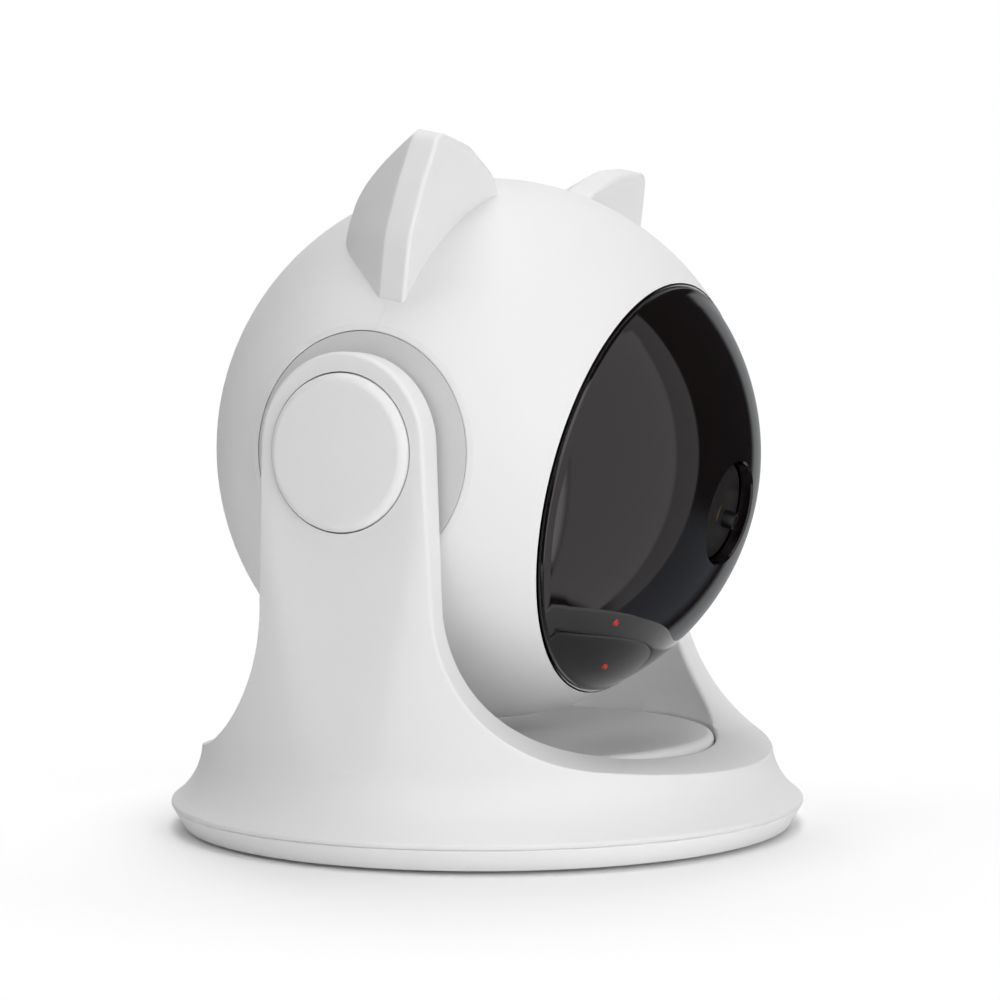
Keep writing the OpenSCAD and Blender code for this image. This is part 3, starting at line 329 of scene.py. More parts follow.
def edge_feet(wall, sign, s, f):
    """Where a fillet of radius f between a wall and the outline's strip leaves both:
    (angle, z) on the wall and (x, s) on the strip."""
    y, z, ns = on_outline(s)
    theta = wall_angle(wall, y, z)
    n = wall_normal(wall, theta, z, sign)
    corner = wall(theta, z)
    dot = np.sum(n * ns, -1, keepdims=True)
    centre = corner - f[:, None] * (n + ns) / (1 + dot)
    a, b = centre + f[:, None] * n, centre + f[:, None] * ns
    along = np.stack([0 * s, -ns[:, 2], ns[:, 1]], -1)
    slide = np.sum((b - corner) * along, -1)
    return np.arctan2(a[:, 1], a[:, 0]), a[:, 2], b[:, 0], s + slide


def fillet(p, n, q, m, f, steps):
    """Points of a cubic between p and q that leaves p across normal n and q across m,
    with a circle's handle length, without the two ends."""
    dot = np.sum(n * m, -1, keepdims=True)
    turn = np.arccos(np.clip(dot, -1, 1))
    u, v = m - dot * n, n - dot * m
    u, v = (w / np.linalg.norm(w, axis=-1, keepdims=True) for w in (u, v))
    reach = 4 / 3 * np.tan(turn / 4) * f[:, None]
    t = np.linspace(0, 1, steps + 1)[1:-1][:, None, None]
    return ((1 - t) ** 3 * p + 3 * (1 - t) ** 2 * t * (p + reach * u)
            + 3 * (1 - t) * t ** 2 * (q + reach * v) + t ** 3 * q)


def base_grid(count=150):
    """A quarter of the shell as stations x rows: out over the skirt, up the wall,
    over the edge, across, down inside and back through the hollow."""
    y, z, _ = on_outline(out_s)
    ok = y <= bell_r(z)
    s = out_s[ok]
    y, z, _ = on_outline(s)
    path = outer_wall(wall_angle(outer_wall, y, z), z)
    length = np.concatenate([[0], np.cumsum(np.linalg.norm(np.diff(path, axis=0), axis=1))])
    s = np.interp(np.linspace(0, length[-1], count + 1), length, s)
    y, z, _ = on_outline(s)
    rise = np.clip((z - 14) / 22, 0, 1)
    f_out = 0.3 + 0.4 * rise
    shift = np.clip((y - 15.5) / (y[0] - 15.5), 0, 1) ** 1.15
    s_in = s + (y[0] - 36.32) / math.cos(lip_tilt) * shift
    f_in = 0.55 + 0.5 * rise
    ta, za, xa, sa = edge_feet(outer_wall, 1, s, f_out)
    tb, zb, xb, sb = edge_feet(inner_wall, -1, s_in, f_in)
    ta[0] = tb[0] = math.pi / 2
    ta[-1] = tb[-1] = 0
    xa[0] = xb[0] = 0
    sa[-1] = sb[-1] = out_s[-1]
    rows = []

    def ring(r, h, theta):
        rows.append(np.stack([r * np.cos(theta), r * np.sin(theta), h + 0 * theta], -1))

    low = rounded([(46.8, 3.75), (50, 3.75), (50, 4.45), (bell_r(np.array(5.3)), 5.3)],
                  [0, 0.25, 0.4, 0], 5)
    for r, h in low[:-1]:
        ring(r, h, ta)
    middle = 5.3 + np.minimum(0.5 * (za - 5.3), 8.35)
    for t in np.linspace(0, 1, 25)[:-1]:
        rows.append(outer_wall(ta, 5.3 + (middle - 5.3) * t))
    for t in np.linspace(0, 1, 45):
        rows.append(outer_wall(ta, middle + (za - middle) * t))
    p, n = rows[-1], wall_normal(outer_wall, ta, za, 1)
    yq, zq, m = on_outline(sa)
    q = np.stack([xa, yq, zq], -1)
    rows.extend(fillet(p, n, q, m, f_out, 9))
    for t in np.linspace(0, 1, 9):
        ys, zs, m = on_outline(sa + (sb - sa) * t)
        rows.append(np.stack([xa + (xb - xa) * t, ys, zs], -1))
    q = inner_wall(tb, zb)
    rows.extend(fillet(rows[-1], m, q, wall_normal(inner_wall, tb, zb, -1), f_in, 5))
    for t in np.linspace(0, 1, 40):
        rows.append(inner_wall(tb, zb + (cradle_low - zb) * t))
    for r, h in [(34.5, cradle_low), (32.8, cradle_low), (32.8, ledge_low), (39.5, ledge_low),
                 (43.35, 9.6), (44.4, 7.0), (46.2, 4.6), (46.8, 4.55)]:
        ring(r, h, tb)
    return np.stack(rows, 1)


quarter = base_grid()[::-1]
back = quarter[::-1]
turn = np.concatenate([
    quarter, (back * [-1, 1, 1])[1:], (quarter * [-1, -1, 1])[1:], (back * [1, -1, 1])[1:-1]])
stations, rows_n = turn.shape[:2]
base = solid("base_shell", turn.reshape(-1, 3), quads(stations, rows_n, True, True))
for side in (-1, 1):
    v, f = lathe([(0, 41.6), (11.65, 41.6), (11.65, 52), (0, 52)], "x", 256)
    cut(base, v * [side, 1, 1] + [0, 0, axle_z], f)
    v, f = lathe([(0, 37), (5.2, 37), (5.2, 45), (0, 45)], "x", 64)
    cut(base, v * [side, 1, 1] + [0, 0, axle_z], f)
shade(base, 30)
dress(base, white, "base", "white_shell", "base_shell")

# ---------------------------------------------------------------------------
# Cradle liner: a flat round floor insert of the same plastic, dropped onto the
# bell's ledge; its rounded edge leaves a sharp crease round it.
# ---------------------------------------------------------------------------

satin = finish_material("satin liner plastic", (0.78, 0.78, 0.78), 0.36, bump=0.012)
profile = rounded([(0, cradle_top), (cradle_r, cradle_top), (cradle_r, cradle_low),
                   (0, cradle_low)], [0, 1.2, 0.2, 0], 8)
v, f = lathe(profile)
liner = solid("cradle_liner", v, f)
shade(liner)
dress(liner, satin, "base", "satin_liner", "cradle_liner")

# ---------------------------------------------------------------------------
# Base plate: a white plate screwed under the bell, its slanting rim shows as a
# lighter band. Feet and screws sit in recesses of its flat underside.
# ---------------------------------------------------------------------------

rim_white = finish_material("rim plastic", (0.86, 0.86, 0.86), 0.4, bump=0.015)
profile = rounded(
    [(0, 0.5), (48, 0.5), (49.9, 3.7), (46.6, 3.7), (46.6, 4.4), (44.9, 4.4), (44.9, 3.3),
     (0, 3.3)], [0, 0.3, 0.2, 0, 0.2, 0.2, 0, 0], 4)
v, f = lathe(profile, turns=320)
plate = solid("base_plate", v, f)
feet_at = 33.3
for i in range(4):
    for r, top, at, turned in ((5.6, 1.3, feet_at, 0), (2.9, 2.2, 39.3, 45)):
        v, f = lathe([(0, 0), (r, 0), (r, top), (0, top)], turns=64)
        a = math.radians(turned + 90 * i)
        cut(plate, v + [at * math.cos(a), at * math.sin(a), 0], f)
shade(plate)
dress(plate, rim_white, "base", "rim_plate", "base_plate")

# ---------------------------------------------------------------------------
# Anti-slip feet: four round pads of grey rubber, glued into the plate's recesses.
# ---------------------------------------------------------------------------

rubber = finish_material("foot rubber", (0.09, 0.09, 0.095), 0.75, spread=0.1, bump=0.12,
                         grain=1800)
pads = []
for i in range(4):
    v, f = lathe(rounded([(0, 0), (5.5, 0), (5.5, 1.3), (0, 1.3)], [0, 0.3, 0.1, 0], 5), turns=72)
    a = math.radians(90 * i)
    pads.append((v + [feet_at * math.cos(a), feet_at * math.sin(a), 0], f))
feet = solid("anti_slip_feet", *joined(pads))
shade(feet)
dress(feet, rubber, "base", "foot_rubber", "anti_slip_feet")

# ---------------------------------------------------------------------------
# Pivot caps: crowned white discs pressed into the arms' pockets over the axle
# screws, with a thin gap all round.
# ---------------------------------------------------------------------------


def crown(radius, height, rise, edge, steps=14):
    """(r, h) from the middle of a disc's crowned face to the start of its edge arc:
    h falls by rise (r / radius)^2."""
    r = np.linspace(0, radius - edge, steps)
    return [(x, height - rise * (x / radius) ** 2) for x in r]


cap_r, cap_edge = 11.45, 1.4
top = crown(cap_r, 45.6, 0.35, cap_edge)
centre_h = top[-1][1] - cap_edge
arc = [(cap_r - cap_edge + cap_edge * math.sin(t), centre_h + cap_edge * math.cos(t))
       for t in np.linspace(0.05, math.pi / 2, 10)]
profile = top + arc + [(cap_r, 41.65), (10.25, 41.65), (10.25, 43.9), (0, 43.9)]
for name, side in (("pivot_cap_left", -1), ("pivot_cap_right", 1)):
    v, f = lathe(profile, "x", 256)
    cap = solid(name, v * [side, 1, 1] + [0, 0, axle_z], f)
    shade(cap, 40)
    dress(cap, white, "base", "white_shell", name)

# ---------------------------------------------------------------------------
# Front shell: the front of the ball, moulded white, with a flat on either side
# for the axle plate and a stepped ledge that the visor is glued on.
# ---------------------------------------------------------------------------

ball_r, ball_in, side_x = 42.6, 40.6, 38.5


def ball_wall(start, stop, steps, radius):
    """(r, y) of a circle about the ball's middle, angles in degrees from -Y."""
    a = np.radians(np.linspace(start, stop, steps))
    return list(zip(radius * np.sin(a), -radius * np.cos(a)))


def flats(obj):
    """Pares the ball flat on both sides, with a chamfer, and bores it for the hubs."""
    for side in (-1, 1):
        v, f = lathe([(0, 30), (17.7, 30), (17.7, side_x), (17.92, side_x), (18.6, side_x - 0.19),
                      (24, side_x - 1.7), (24, 50), (0, 50)], "x", 360)
        cut(obj, head(v * [side, 1, 1]), f)


rim = rounded(
    [ball_wall(60, 48.9, 12, ball_r)[-1], (31.8, -28.35), (31.8, -26.51), (30.2, -26.51),
     (30.2, -24.5), (32.9, -24.5), ball_wall(55.5, 60, 2, ball_in)[0]],
    [0, 0.3, 0, 0, 0, 0, 0], 5)
outer = ball_wall(91.75, 48.9, 150, ball_r)
inner = ball_wall(56, 91.83, 60, ball_in)
profile = np.array(outer[:-1] + rim.tolist() + inner)
v, f = lathe(profile, "y", 360, ring=True)
front = solid("head_front_shell", head(v), f)
flats(front)
shade(front, 12, ((0, 0, axle_z), ball_r))
dress(front, white, "head", "white_shell", "head_front_shell")

# ---------------------------------------------------------------------------
# Rear shell: the back of the ball, moulded white, with the openings for the power
# button and the charging socket. Its screws' counterbores are left closed.
# ---------------------------------------------------------------------------

outer = ball_wall(91.78, 180, 150, ball_r)
inner = ball_wall(180, 91.83, 90, ball_in)
outer[-1], inner[0] = (0, ball_r), (0, ball_in)
cols = 360
v1, f1 = lathe(outer, "y", cols)
v2, f2 = lathe(inner, "y", cols)
edge = len(v1) + (len(inner) - 2) * cols
rim_faces = [[j + edge, (j + 1) % cols + edge, (j + 1) % cols, j] for j in range(cols)]
v, f = joined([(v1, f1), (v2, f2)])
rear = solid("head_rear_shell", head(v), f + rim_faces)
flats(rear)
v, f = lathe([(0, 30), (4.6, 30), (4.6, 50), (0, 50)], "y", 96)
cut(rear, head(v + [0, 0, 10]), f)


def slot_outline(half_w, half_h, count):
    """A slot with round ends: points of the circle moved apart along x."""
    a = np.linspace(0, 2 * math.pi, count, endpoint=False) + 1e-3
    return np.stack([half_h * np.cos(a) + np.sign(np.cos(a)) * (half_w - half_h),
                     half_h * np.sin(a)], -1)


def slot_solid(half_w, half_h, y0, y1, z0, count=64):
    """A slot's outline drawn from y0 to y1."""
    ring = slot_outline(half_w, half_h, count)
    v = np.concatenate([np.stack([ring[:, 0], 0 * ring[:, 0] + y, ring[:, 1] + z0], -1)
                        for y in (y0, y1)])
    faces = quads(2, count) + [list(range(count)), list(range(2 * count - 1, count - 1, -1))]
    return v, faces


v, f = slot_solid(4.57, 1.73, 30, 50, -10)
cut(rear, head(v), f)
v, f = slot_solid(6.67, 3.83, 40.31, 50, -10)
cut(rear, head(v), f)
shade(rear, 12, ((0, 0, axle_z), ball_r))
dress(rear, white, "head", "white_shell", "head_rear_shell")

# ---------------------------------------------------------------------------
# Ears: two moulded white ears held by screws from inside, a flat front with a
# crisp edge, a straight side and a domed back that meets the ball.
# ---------------------------------------------------------------------------

ear_discs = np.array([(-33.7, 45.1, 2.2), (-27.2, 40.3, 6.1), (-22.0, 35.5, 8.6),
                      (-26.0, 32.0, 12.0), (-34.3, 39.0, 3.0), (-35.4, 22.8, 1.0)])


def ear_outline(count=320, centre=(-24.0, 29.0)):
    """Front outline of an ear: the hull of six discs, its corner arcs and straights
    evenly spaced, from its support points in every direction."""
    a = np.linspace(0, 2 * math.pi, 20001)[:-1]
    u = np.stack([np.cos(a), np.sin(a)], -1)
    reach = u @ ear_discs[:, :2].T + ear_discs[:, 2]
    pick = ear_discs[np.argmax(reach, 1)]
    p = pick[:, :2] + pick[:, 2:] * u
    step = np.linalg.norm(np.roll(p, -1, 0) - p, axis=1)
    s = np.concatenate([[0], np.cumsum(step)])
    want = np.linspace(0, s[-1], count, endpoint=False)
    loop = np.vstack([p, p[:1]])
    out = np.stack([np.interp(want, s, loop[:, k]) for k in range(2)], -1)
    for _ in range(3):
        out = 0.25 * np.roll(out, 1, 0) + 0.5 * out + 0.25 * np.roll(out, -1, 0)
    return out, np.array(centre)


def ear_solid():
    """Rings of the outline: a slightly hollow front, a rounded front edge, a straight
    side and a back that shrinks as sqrt((1 - u)(1 - 0.23 u))."""
    loop, mid = ear_outline()
    size = float(np.linalg.norm(loop - mid, axis=1).mean())
    rows = []
    for k in np.linspace(0.02, 1 - 0.7 / size, 26):
        rows.append((k, -1.28 + 0.6 * (1 - k ** 2.2)))
    for t in np.linspace(0, math.pi / 2, 8)[1:]:
        rows.append((1 - 0.7 / size * (1 - math.sin(t)), -1.28 + 0.6 * (1 - math.cos(t))))
    for y in np.linspace(-0.3, 2.9, 8):
        rows.append((1.0, y))
    rows.append((0.998, 3.05))
    for u in 1 - (1 - np.linspace(0, 1, 34)[1:-1]) ** 1.3:
        rows.append((math.sqrt((1 - u) * (1 - 0.23 * u)), 3.0 + 14 * u))
    grid = [np.stack([mid[0] + k * (loop[:, 0] - mid[0]), 0 * loop[:, 0] + y,
                      mid[1] + k * (loop[:, 1] - mid[1])], -1) for k, y in rows]
    n = len(loop)
    v = np.concatenate(grid)
    faces = quads(len(rows), n) + [list(range(n)), list(range(len(v) - 1, len(v) - n - 1, -1))]
    return v, faces


cut_r = ball_r - 0.04
ball_cut = lathe([(0, -cut_r)] + [(cut_r * math.sin(a), -cut_r * math.cos(a))
                                  for a in np.linspace(0, math.pi, 160)[1:-1]] + [(0, cut_r)],
                 "y", 256)
for name, side in (("ear_left", 1), ("ear_right", -1)):
    v, f = ear_solid()
    ear = solid(name, head(v * [side, 1, 1]), f)
    cut(ear, head(ball_cut[0]), ball_cut[1])
    shade(ear, 40)
    dress(ear, white, "head", "white_shell", name)

# ---------------------------------------------------------------------------
# Pivot hubs: round plates set into the ball's flats, with the hollow trunnions
# that turn in the arms. Their matt face is painted grey: painted shade, darker than the shells.
# ---------------------------------------------------------------------------

# The hub colour is painted shade: grey in place of the shadow that the arms cast on the hub faces.
hub_shade_grey = finish_material("hub plastic with painted shade", (0.62, 0.62, 0.62), 0.55, bump=0.02)
profile = rounded([(0, 36.2), (1.2, 36.2), (1.2, 41.75), (5, 41.75), (5, 38.5), (17.6, 38.5),
                   (17.6, 35.5), (19.1, 35.5), (19.1, 34), (0, 34)],
                  [0, 0, 0, 0.3, 0, 0.15, 0, 0, 0, 0], 4)
for name, side in (("pivot_hub_left", -1), ("pivot_hub_right", 1)):
    v, f = lathe(profile, "x", 300)
    hub = solid(name, head(v * [side, 1, 1]), f)
    shade(hub, 30)
    dress(hub, hub_shade_grey, "head", "hub_plastic", name)

# ---------------------------------------------------------------------------
# Visor: a bulged disc of smoked acrylic glued on the front shell's ledge, with
# a polished surface and a round port in the middle for the turret.
# ---------------------------------------------------------------------------

dome_y, dome_r = -3.11, 40.59
rim_from, rim_slope = 29.4, 0.06


def dome(radius, start, stop, steps):
    """(r, y) on a sphere about the dome's centre between two distances from the axis."""
    r = np.linspace(start, stop, steps)
    return list(zip(r, dome_y - np.sqrt(radius ** 2 - r ** 2)))


smoke = finish_material("smoked visor", (0.006, 0.0045, 0.0045), 0.045, spread=0.3, coat=0.4,
                        bump=0.0, specular=0.55, other={"Coat Roughness": 0.02})
front_face = [(r, y + rim_slope * max(r - rim_from, 0))
              for r, y in dome(dome_r, 8.15, 31.4, 90)]
profile = rounded([front_face[-2], (31.7, -28.6), (31.7, -26.51), (29.6, -26.51),
                   dome(38.59, 29.55, 29.55, 1)[0]], [0, 0.25, 0.1, 0, 0], 5)
back_face = dome(38.59, 29.4, 7.9, 50)
profile = np.array(front_face[:-2] + profile.tolist() + back_face
                   + [(7.9, front_face[0][1] + 0.3)])
v, f = lathe(profile, "y", 320, ring=True)
visor = solid("visor", head(v), f)
shade(visor, 28)
dress(visor, smoke, "head", "visor_smoke", "visor")

# ---------------------------------------------------------------------------
# Light pipes: two clear red rods from the indicator board through the visor.
# ---------------------------------------------------------------------------

pipe_red = finish_material("red light pipe", (0.35, 0.02, 0.015), 0.25, spread=0.08,
                           other={"Emission Color": (1, 0.06, 0.03, 1),
                                  "Emission Strength": 0.12})
rods = []
for reach, turned in ((24.1, 227.0), (27.7, 247.7)):
    a = math.radians(turned)
    y = dome(dome_r, reach, reach, 1)[0][1]
    v, f = lathe(rounded([(0, y - 0.06), (0.68, y - 0.02), (0.68, -26.2), (0, -26.2)],
                         [0, 0.2, 0, 0], 4), "y", 40)
    rods.append((v + [reach * math.cos(a), 0, reach * math.sin(a)], f))
pipes = solid("light_pipes", *(lambda p: (head(p[0]), p[1]))(joined(rods)))
shade(pipes)
dress(pipes, pipe_red, "head", "pipe_red", "light_pipes")

# ---------------------------------------------------------------------------
# Turret: a black drum that turns in the visor's port, with a flat face, and the
# laser's tube standing tilted and off centre in it.
# ---------------------------------------------------------------------------

drum_black = finish_material("turret plastic", (0.018, 0.016, 0.016), 0.3, spread=0.1, bump=0.05)
profile = rounded(
    [(0, -40.88), (7.6, -40.88), (7.6, -39.38), (7.2, -39.38), (7.2, -26.98), (0, -26.98)],
    [0, 0.35, 0, 0, 0, 0], 5)
v, f = lathe(profile, "y", 160)
turret = solid("laser_turret", head(v), f)
beam_tilt, beam_turn, beam_out = 10, 23, 3.9


def beam(v):
    """Points of the laser's frame, its beam along -Y, in the row frame."""
    c, s = math.cos(math.radians(beam_tilt)), math.sin(math.radians(beam_tilt))
    v = np.stack([v[:, 0] * c - v[:, 1] * s + beam_out, v[:, 0] * s + v[:, 1] * c - ball_r,
                  v[:, 2]], -1)
    c, s = math.cos(math.radians(beam_turn)), math.sin(math.radians(beam_turn))
    return head(np.stack([v[:, 0] * c + v[:, 2] * s, v[:, 1], -v[:, 0] * s + v[:, 2] * c], -1))


v, f = lathe([(0, -3), (1.37, -3), (1.37, 2.3), (3.02, 2.3), (3.02, 20), (0, 20)], "y", 64)
cut(turret, beam(v), f)
shade(turret)
dress(turret, drum_black, "turret", "turret_plastic", "laser_turret")

nozzle_black = finish_material("nozzle metal", (0.02, 0.02, 0.02), 0.35, spread=0.1, metal=0.6,
                               bump=0.03)
profile = rounded([(0.9, 0), (1.35, 0), (1.35, 2.2), (0.9, 2.2)], [0, 0.2, 0, 0], 5)
v, f = lathe(profile, "y", 72, ring=True)
nozzle = solid("laser_nozzle", beam(v), f)
shade(nozzle)
dress(nozzle, nozzle_black, "turret", "black_plastic", "laser_nozzle")

# The lens glows faintly red by emission: a painted red glint on the laser nozzle.
lens_glint_red = finish_material("laser lens painted glint", (0.5, 0.01, 0.015), 0.08, spread=0.1,
                           other={"Emission Color": (1, 0.02, 0.02, 1),
                                  "Emission Strength": 0.25})
r = np.linspace(0, 0.88, 8)
profile = [(x, 0.3 + 0.35 * (x / 0.88) ** 2) for x in r] + [(0.88, 1.1), (0, 1.1)]
v, f = lathe(profile, "y", 48)
lens = solid("laser_lens", beam(v), f)
shade(lens)
dress(lens, lens_glint_red, "turret", "led_resin", "laser_lens")

# ---------------------------------------------------------------------------
# Power button: a round white key with a dished face in the back of the ball.
# ---------------------------------------------------------------------------

profile = [(x, 41.45 + 0.3 * (x / 4.1) ** 2) for x in np.linspace(0, 4.1, 12)]
profile += [(4.1 + 0.4 * math.sin(t), 41.4 + 0.38 * math.cos(t))
            for t in np.linspace(0.35, math.pi / 2, 6)]
profile += [(4.5, 37.32), (5.7, 37.32), (5.7, 36.12), (2.4, 36.12), (2.4, 34.6), (0, 34.6)]
v, f = lathe(profile, "y", 96)
button = solid("power_button", head(v + [0, 0, 10]), f)
shade(button, 40)
dress(button, white, "power_button", "white_shell", "power_button")

# ---------------------------------------------------------------------------
# Pieces shown from their exact solids: fasteners, washers and everything inside
# the ball. Each keeps its geometry and takes a procedural finish by material.
# ---------------------------------------------------------------------------

steel = finish_material("screw steel", (0.55, 0.55, 0.56), 0.3, spread=0.06, metal=1.0, bump=0.06)
finishes = {
    "ballast_steel": finish_material("ballast steel", (0.33, 0.33, 0.34), 0.45, spread=0.1,
                                     metal=1.0, bump=0.15, grain=900),
    "screw_steel": steel,
    "motor_steel": finish_material("motor can", (0.5, 0.5, 0.52), 0.26, spread=0.05, metal=1.0,
                                   bump=0.05),
    "washer_rubber": finish_material("washer rubber", (0.05, 0.05, 0.05), 0.7, spread=0.1,
                                     bump=0.1),
    "board_green": finish_material("circuit board", (0.02, 0.13, 0.05), 0.4, spread=0.25,
                                   cloud=500, bump=0.08),
    "led_resin": finish_material("indicator resin", (0.6, 0.05, 0.04), 0.2, spread=0.05),
    "chassis_plastic": finish_material("chassis plastic", (0.12, 0.12, 0.125), 0.55, spread=0.08,
                                       bump=0.08),
    "black_plastic": finish_material("black plastic", (0.03, 0.03, 0.03), 0.45, spread=0.1,
                                     bump=0.06),
    "contact_brass": finish_material("contact brass", (0.62, 0.44, 0.16), 0.28, spread=0.08,
                                     metal=1.0, bump=0.04),
    "battery_foil": finish_material("battery foil", (0.42, 0.43, 0.45), 0.35, spread=0.08,
                                    metal=0.7, bump=0.3, grain=400),
    "gear_plastic": finish_material("gear plastic", (0.75, 0.73, 0.66), 0.45, spread=0.03,
                                    bump=0.03),
}
parts = {
    "ballast_steel": ["ballast_plate"],
    "screw_steel": [
        "base_screws", "ear_screws", "pivot_washers", "pivot_screws", "shell_screws",
        "indicator_screws", "chassis_screws", "motor_clamp_screws", "brush_screw",
        "battery_strap_screws", "control_board_screws", "turret_clip", "motor_shaft",
        "motor_clamp", "usb_c_port"],
    "motor_steel": ["gear_motor"],
    "washer_rubber": ["friction_washers"],
    "board_green": ["indicator_board", "control_board"],
    "led_resin": ["indicator_leds"],
    "chassis_plastic": ["chassis"],
    "black_plastic": ["brush_block", "battery_strap", "tact_switch", "switch_plunger"],
    "contact_brass": ["laser_module", "slip_rings", "brush_contacts"],
    "battery_foil": ["battery"],
    "gear_plastic": ["turret_gear", "drive_pinion"],
}
for finish, names in parts.items():
    for name in names:
        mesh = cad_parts[name].data
        mesh.materials.clear()
        mesh.materials.append(finishes[finish])

# ---------------------------------------------------------------------------
# Studio: a pale floor that keeps the shadow, a white backdrop for the camera
# only, and broad soft lamps. None of it belongs to the toy.
# ---------------------------------------------------------------------------

floor_mesh = bpy.data.meshes.new("floor")
span = np.array([(-3, -3, 0), (3, -3, 0), (3, 3, 0), (-3, 3, 0)], float)
floor_mesh.from_pydata(span.tolist(), [], [(0, 1, 2, 3)])
floor = bpy.data.objects.new("floor", floor_mesh)
bpy.context.scene.collection.objects.link(floor)
floor_mat = bpy.data.materials.new("pale floor")
floor_mat.use_nodes = True
tree = floor_mat.node_tree
shader = tree.nodes["Principled BSDF"]
shader.inputs["Base Color"].default_value = (0.9, 0.9, 0.9, 1)
shader.inputs["Roughness"].default_value = 0.9
shader.inputs["Specular IOR Level"].default_value = 0.1
far = tree.nodes.new("ShaderNodeEmission")
far.inputs["Color"].default_value = (1, 1, 1, 1)
coord = tree.nodes.new("ShaderNodeTexCoord")
size = tree.nodes.new("ShaderNodeVectorMath")
size.operation = "LENGTH"
ramp = tree.nodes.new("ShaderNodeMapRange")
ramp.interpolation_type = "SMOOTHSTEP"
ramp.inputs["From Min"].default_value = 0.05
ramp.inputs["From Max"].default_value = 0.11
path = tree.nodes.new("ShaderNodeLightPath")
both = tree.nodes.new("ShaderNodeMath")
both.operation = "MULTIPLY"
mix = tree.nodes.new("ShaderNodeMixShader")
link = tree.links.new
link(coord.outputs["Object"], size.inputs[0])
link(size.outputs["Value"], ramp.inputs["Value"])
link(ramp.outputs["Result"], both.inputs[0])
link(path.outputs["Is Camera Ray"], both.inputs[1])
link(both.outputs["Value"], mix.inputs["Fac"])
link(shader.outputs["BSDF"], mix.inputs[1])
link(far.outputs["Emission"], mix.inputs[2])
link(mix.outputs["Shader"], tree.nodes["Material Output"].inputs["Surface"])
floor_mesh.materials.append(floor_mat)
floor.visible_glossy = False

world = bpy.data.worlds.new("studio")
bpy.context.scene.world = world
world.use_nodes = True
tree = world.node_tree
tree.nodes.clear()
room = tree.nodes.new("ShaderNodeBackground")
room.name = "room"
room.inputs["Color"].default_value = (1, 1, 1, 1)
room.inputs["Strength"].default_value = 0.04
dim = tree.nodes.new("ShaderNodeBackground")
dim.inputs["Color"].default_value = (0.018, 0.016, 0.018, 1)
dim.inputs["Strength"].default_value = 1.0
wall = tree.nodes.new("ShaderNodeBackground")
wall.inputs["Color"].default_value = (1, 1, 1, 1)
wall.inputs["Strength"].default_value = 1.0
path = tree.nodes.new("ShaderNodeLightPath")
seen = tree.nodes.new("ShaderNodeMixShader")
mix = tree.nodes.new("ShaderNodeMixShader")
out = tree.nodes.new("ShaderNodeOutputWorld")
tree.links.new(path.outputs["Is Glossy Ray"], seen.inputs["Fac"])
tree.links.new(room.outputs["Background"], seen.inputs[1])
tree.links.new(dim.outputs["Background"], seen.inputs[2])
tree.links.new(path.outputs["Is Camera Ray"], mix.inputs["Fac"])
tree.links.new(seen.outputs["Shader"], mix.inputs[1])
tree.links.new(wall.outputs["Background"], mix.inputs[2])
tree.links.new(mix.outputs["Shader"], out.inputs["Surface"])


def card(name, turned, tilted, colour, strength, soft=0.06, far=1.0):
    """A glowing or dark panel that only reflections see: a patch of the sphere of
    radius far between two angles from -Y towards +X and two above the horizon,
    faded over the share soft of its width."""
    t, e = np.meshgrid(np.radians(np.linspace(*turned, 40)), np.radians(np.linspace(*tilted, 40)))
    v = far * np.stack([np.sin(t) * np.cos(e), -np.cos(t) * np.cos(e), np.sin(e)], -1)
    mesh = bpy.data.meshes.new(name)
    mesh.from_pydata((v.reshape(-1, 3) + [0, 0, 0.06]).tolist(), [], quads(40, 40, ring_cols=False))
    edge = np.minimum(np.linspace(0, 1, 40), np.linspace(1, 0, 40)) / soft
    fade = np.clip(np.minimum(edge[None, :], edge[:, None]), 0, 1).ravel()
    glow = mesh.attributes.new("fade", "FLOAT", "POINT")
    glow.data.foreach_set("value", fade * fade * (3 - 2 * fade))
    mat = bpy.data.materials.new(name)
    mat.use_nodes = True
    nodes = mat.node_tree.nodes
    nodes.clear()
    read = nodes.new("ShaderNodeAttribute")
    read.attribute_name = "fade"
    light = nodes.new("ShaderNodeEmission")
    light.inputs["Color"].default_value = (*colour, 1)
    light.inputs["Strength"].default_value = strength
    clear = nodes.new("ShaderNodeBsdfTransparent")
    blend = nodes.new("ShaderNodeMixShader")
    end = nodes.new("ShaderNodeOutputMaterial")
    mat.node_tree.links.new(read.outputs["Fac"], blend.inputs["Fac"])
    mat.node_tree.links.new(clear.outputs["BSDF"], blend.inputs[1])
    mat.node_tree.links.new(light.outputs["Emission"], blend.inputs[2])
    mat.node_tree.links.new(blend.outputs["Shader"], end.inputs["Surface"])
    mesh.materials.append(mat)
    obj = bpy.data.objects.new(name, mesh)
    bpy.context.scene.collection.objects.link(obj)
    obj.visible_camera = obj.visible_diffuse = obj.visible_shadow = False
    obj.visible_transmission = obj.visible_volume_scatter = False


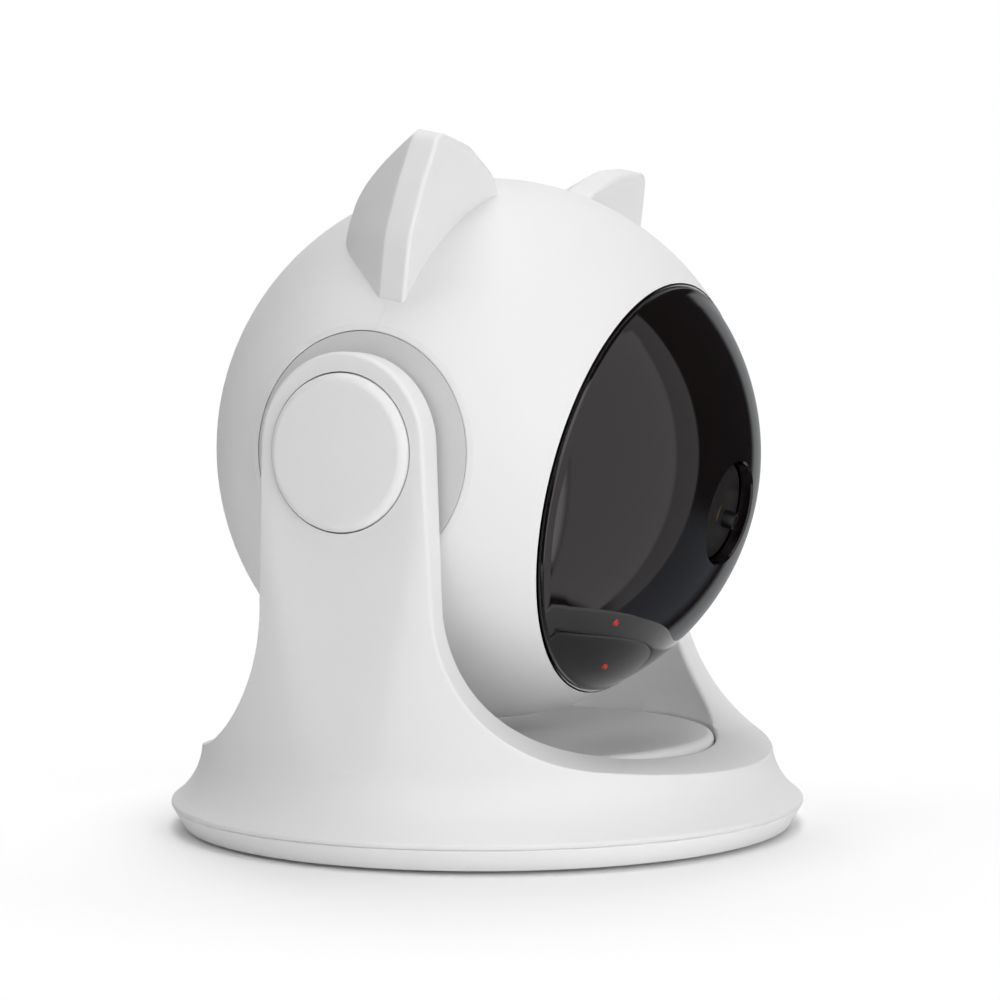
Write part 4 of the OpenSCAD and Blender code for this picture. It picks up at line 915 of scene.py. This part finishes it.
card("card_front", (-37, 18), (-62, 60), (1.0, 0.94, 0.955), 0.75, 0.03)
card("card_front_side", (16, 31.5), (-62, 60), (1.0, 0.95, 0.96), 0.42, 0.1, 1.02)
card("card_left", (-110, -35), (-50, 60), (1.0, 0.97, 0.98), 1.5, 0.06, 1.04)
card("card_right", (78, 150), (-60, 60), (0.95, 0.98, 1.0), 0.35, 0.1, 1.06)
card("card_low", (20, 78), (-70, -12), (0.75, 0.85, 1.0), 0.2, 0.2, 1.08)


def lamp(name, turned, tilted, power, size=0.6, far=0.9):
    """A square softbox far away at an angle from -Y towards +X and one above the
    horizon, turned to the toy; reflections don't see it."""
    t, e = math.radians(turned), math.radians(tilted)
    at = Vector((math.sin(t) * math.cos(e), -math.cos(t) * math.cos(e), math.sin(e))) * far
    data = bpy.data.lights.new(name, "AREA")
    data.shape, data.size, data.energy = "SQUARE", size, power
    obj = bpy.data.objects.new(name, data)
    bpy.context.scene.collection.objects.link(obj)
    obj.location = at + Vector((0, 0, 0.05))
    obj.rotation_mode = "QUATERNION"
    obj.rotation_quaternion = (-at).to_track_quat("-Z", "Y")
    obj.visible_glossy = False


lamp("lamp_top", 0, 90, 5.2)
lamp("lamp_front", -30, 10, 4.5)
lamp("lamp_front_right", 0, 5, 0.9)
lamp("lamp_right", 90, 5, 2.7)
lamp("lamp_right_high", 75, 45, 0.9)
lamp("lamp_back_right", 120, 30, 3.6)
lamp("lamp_left", -90, 5, 0.9)
lamp("lamp_back_left", -135, 45, 1.4)

# ---------------------------------------------------------------------------
# Camera: place, turn and lens come from the fit to the photo's outlines.
# ---------------------------------------------------------------------------

lens = bpy.data.cameras.new("camera")
lens.lens, lens.sensor_width = 89.34, 36.0
lens.clip_start, lens.clip_end = 0.01, 20.0
camera = bpy.data.objects.new("camera", lens)
bpy.context.scene.collection.objects.link(camera)
right, up, behind = (0.4722, -0.8815, -0.0032), (0.0321, 0.0135, 0.9994), (-0.8809, -0.4720, 0.0346)
camera.matrix_world = Matrix((
    (right[0], up[0], behind[0], -0.3465435),
    (right[1], up[1], behind[1], -0.1880702),
    (right[2], up[2], behind[2], 0.0646601),
    (0, 0, 0, 1))).normalized()
bpy.context.scene.camera = camera
bpy.context.scene.view_settings.view_transform = "Standard"
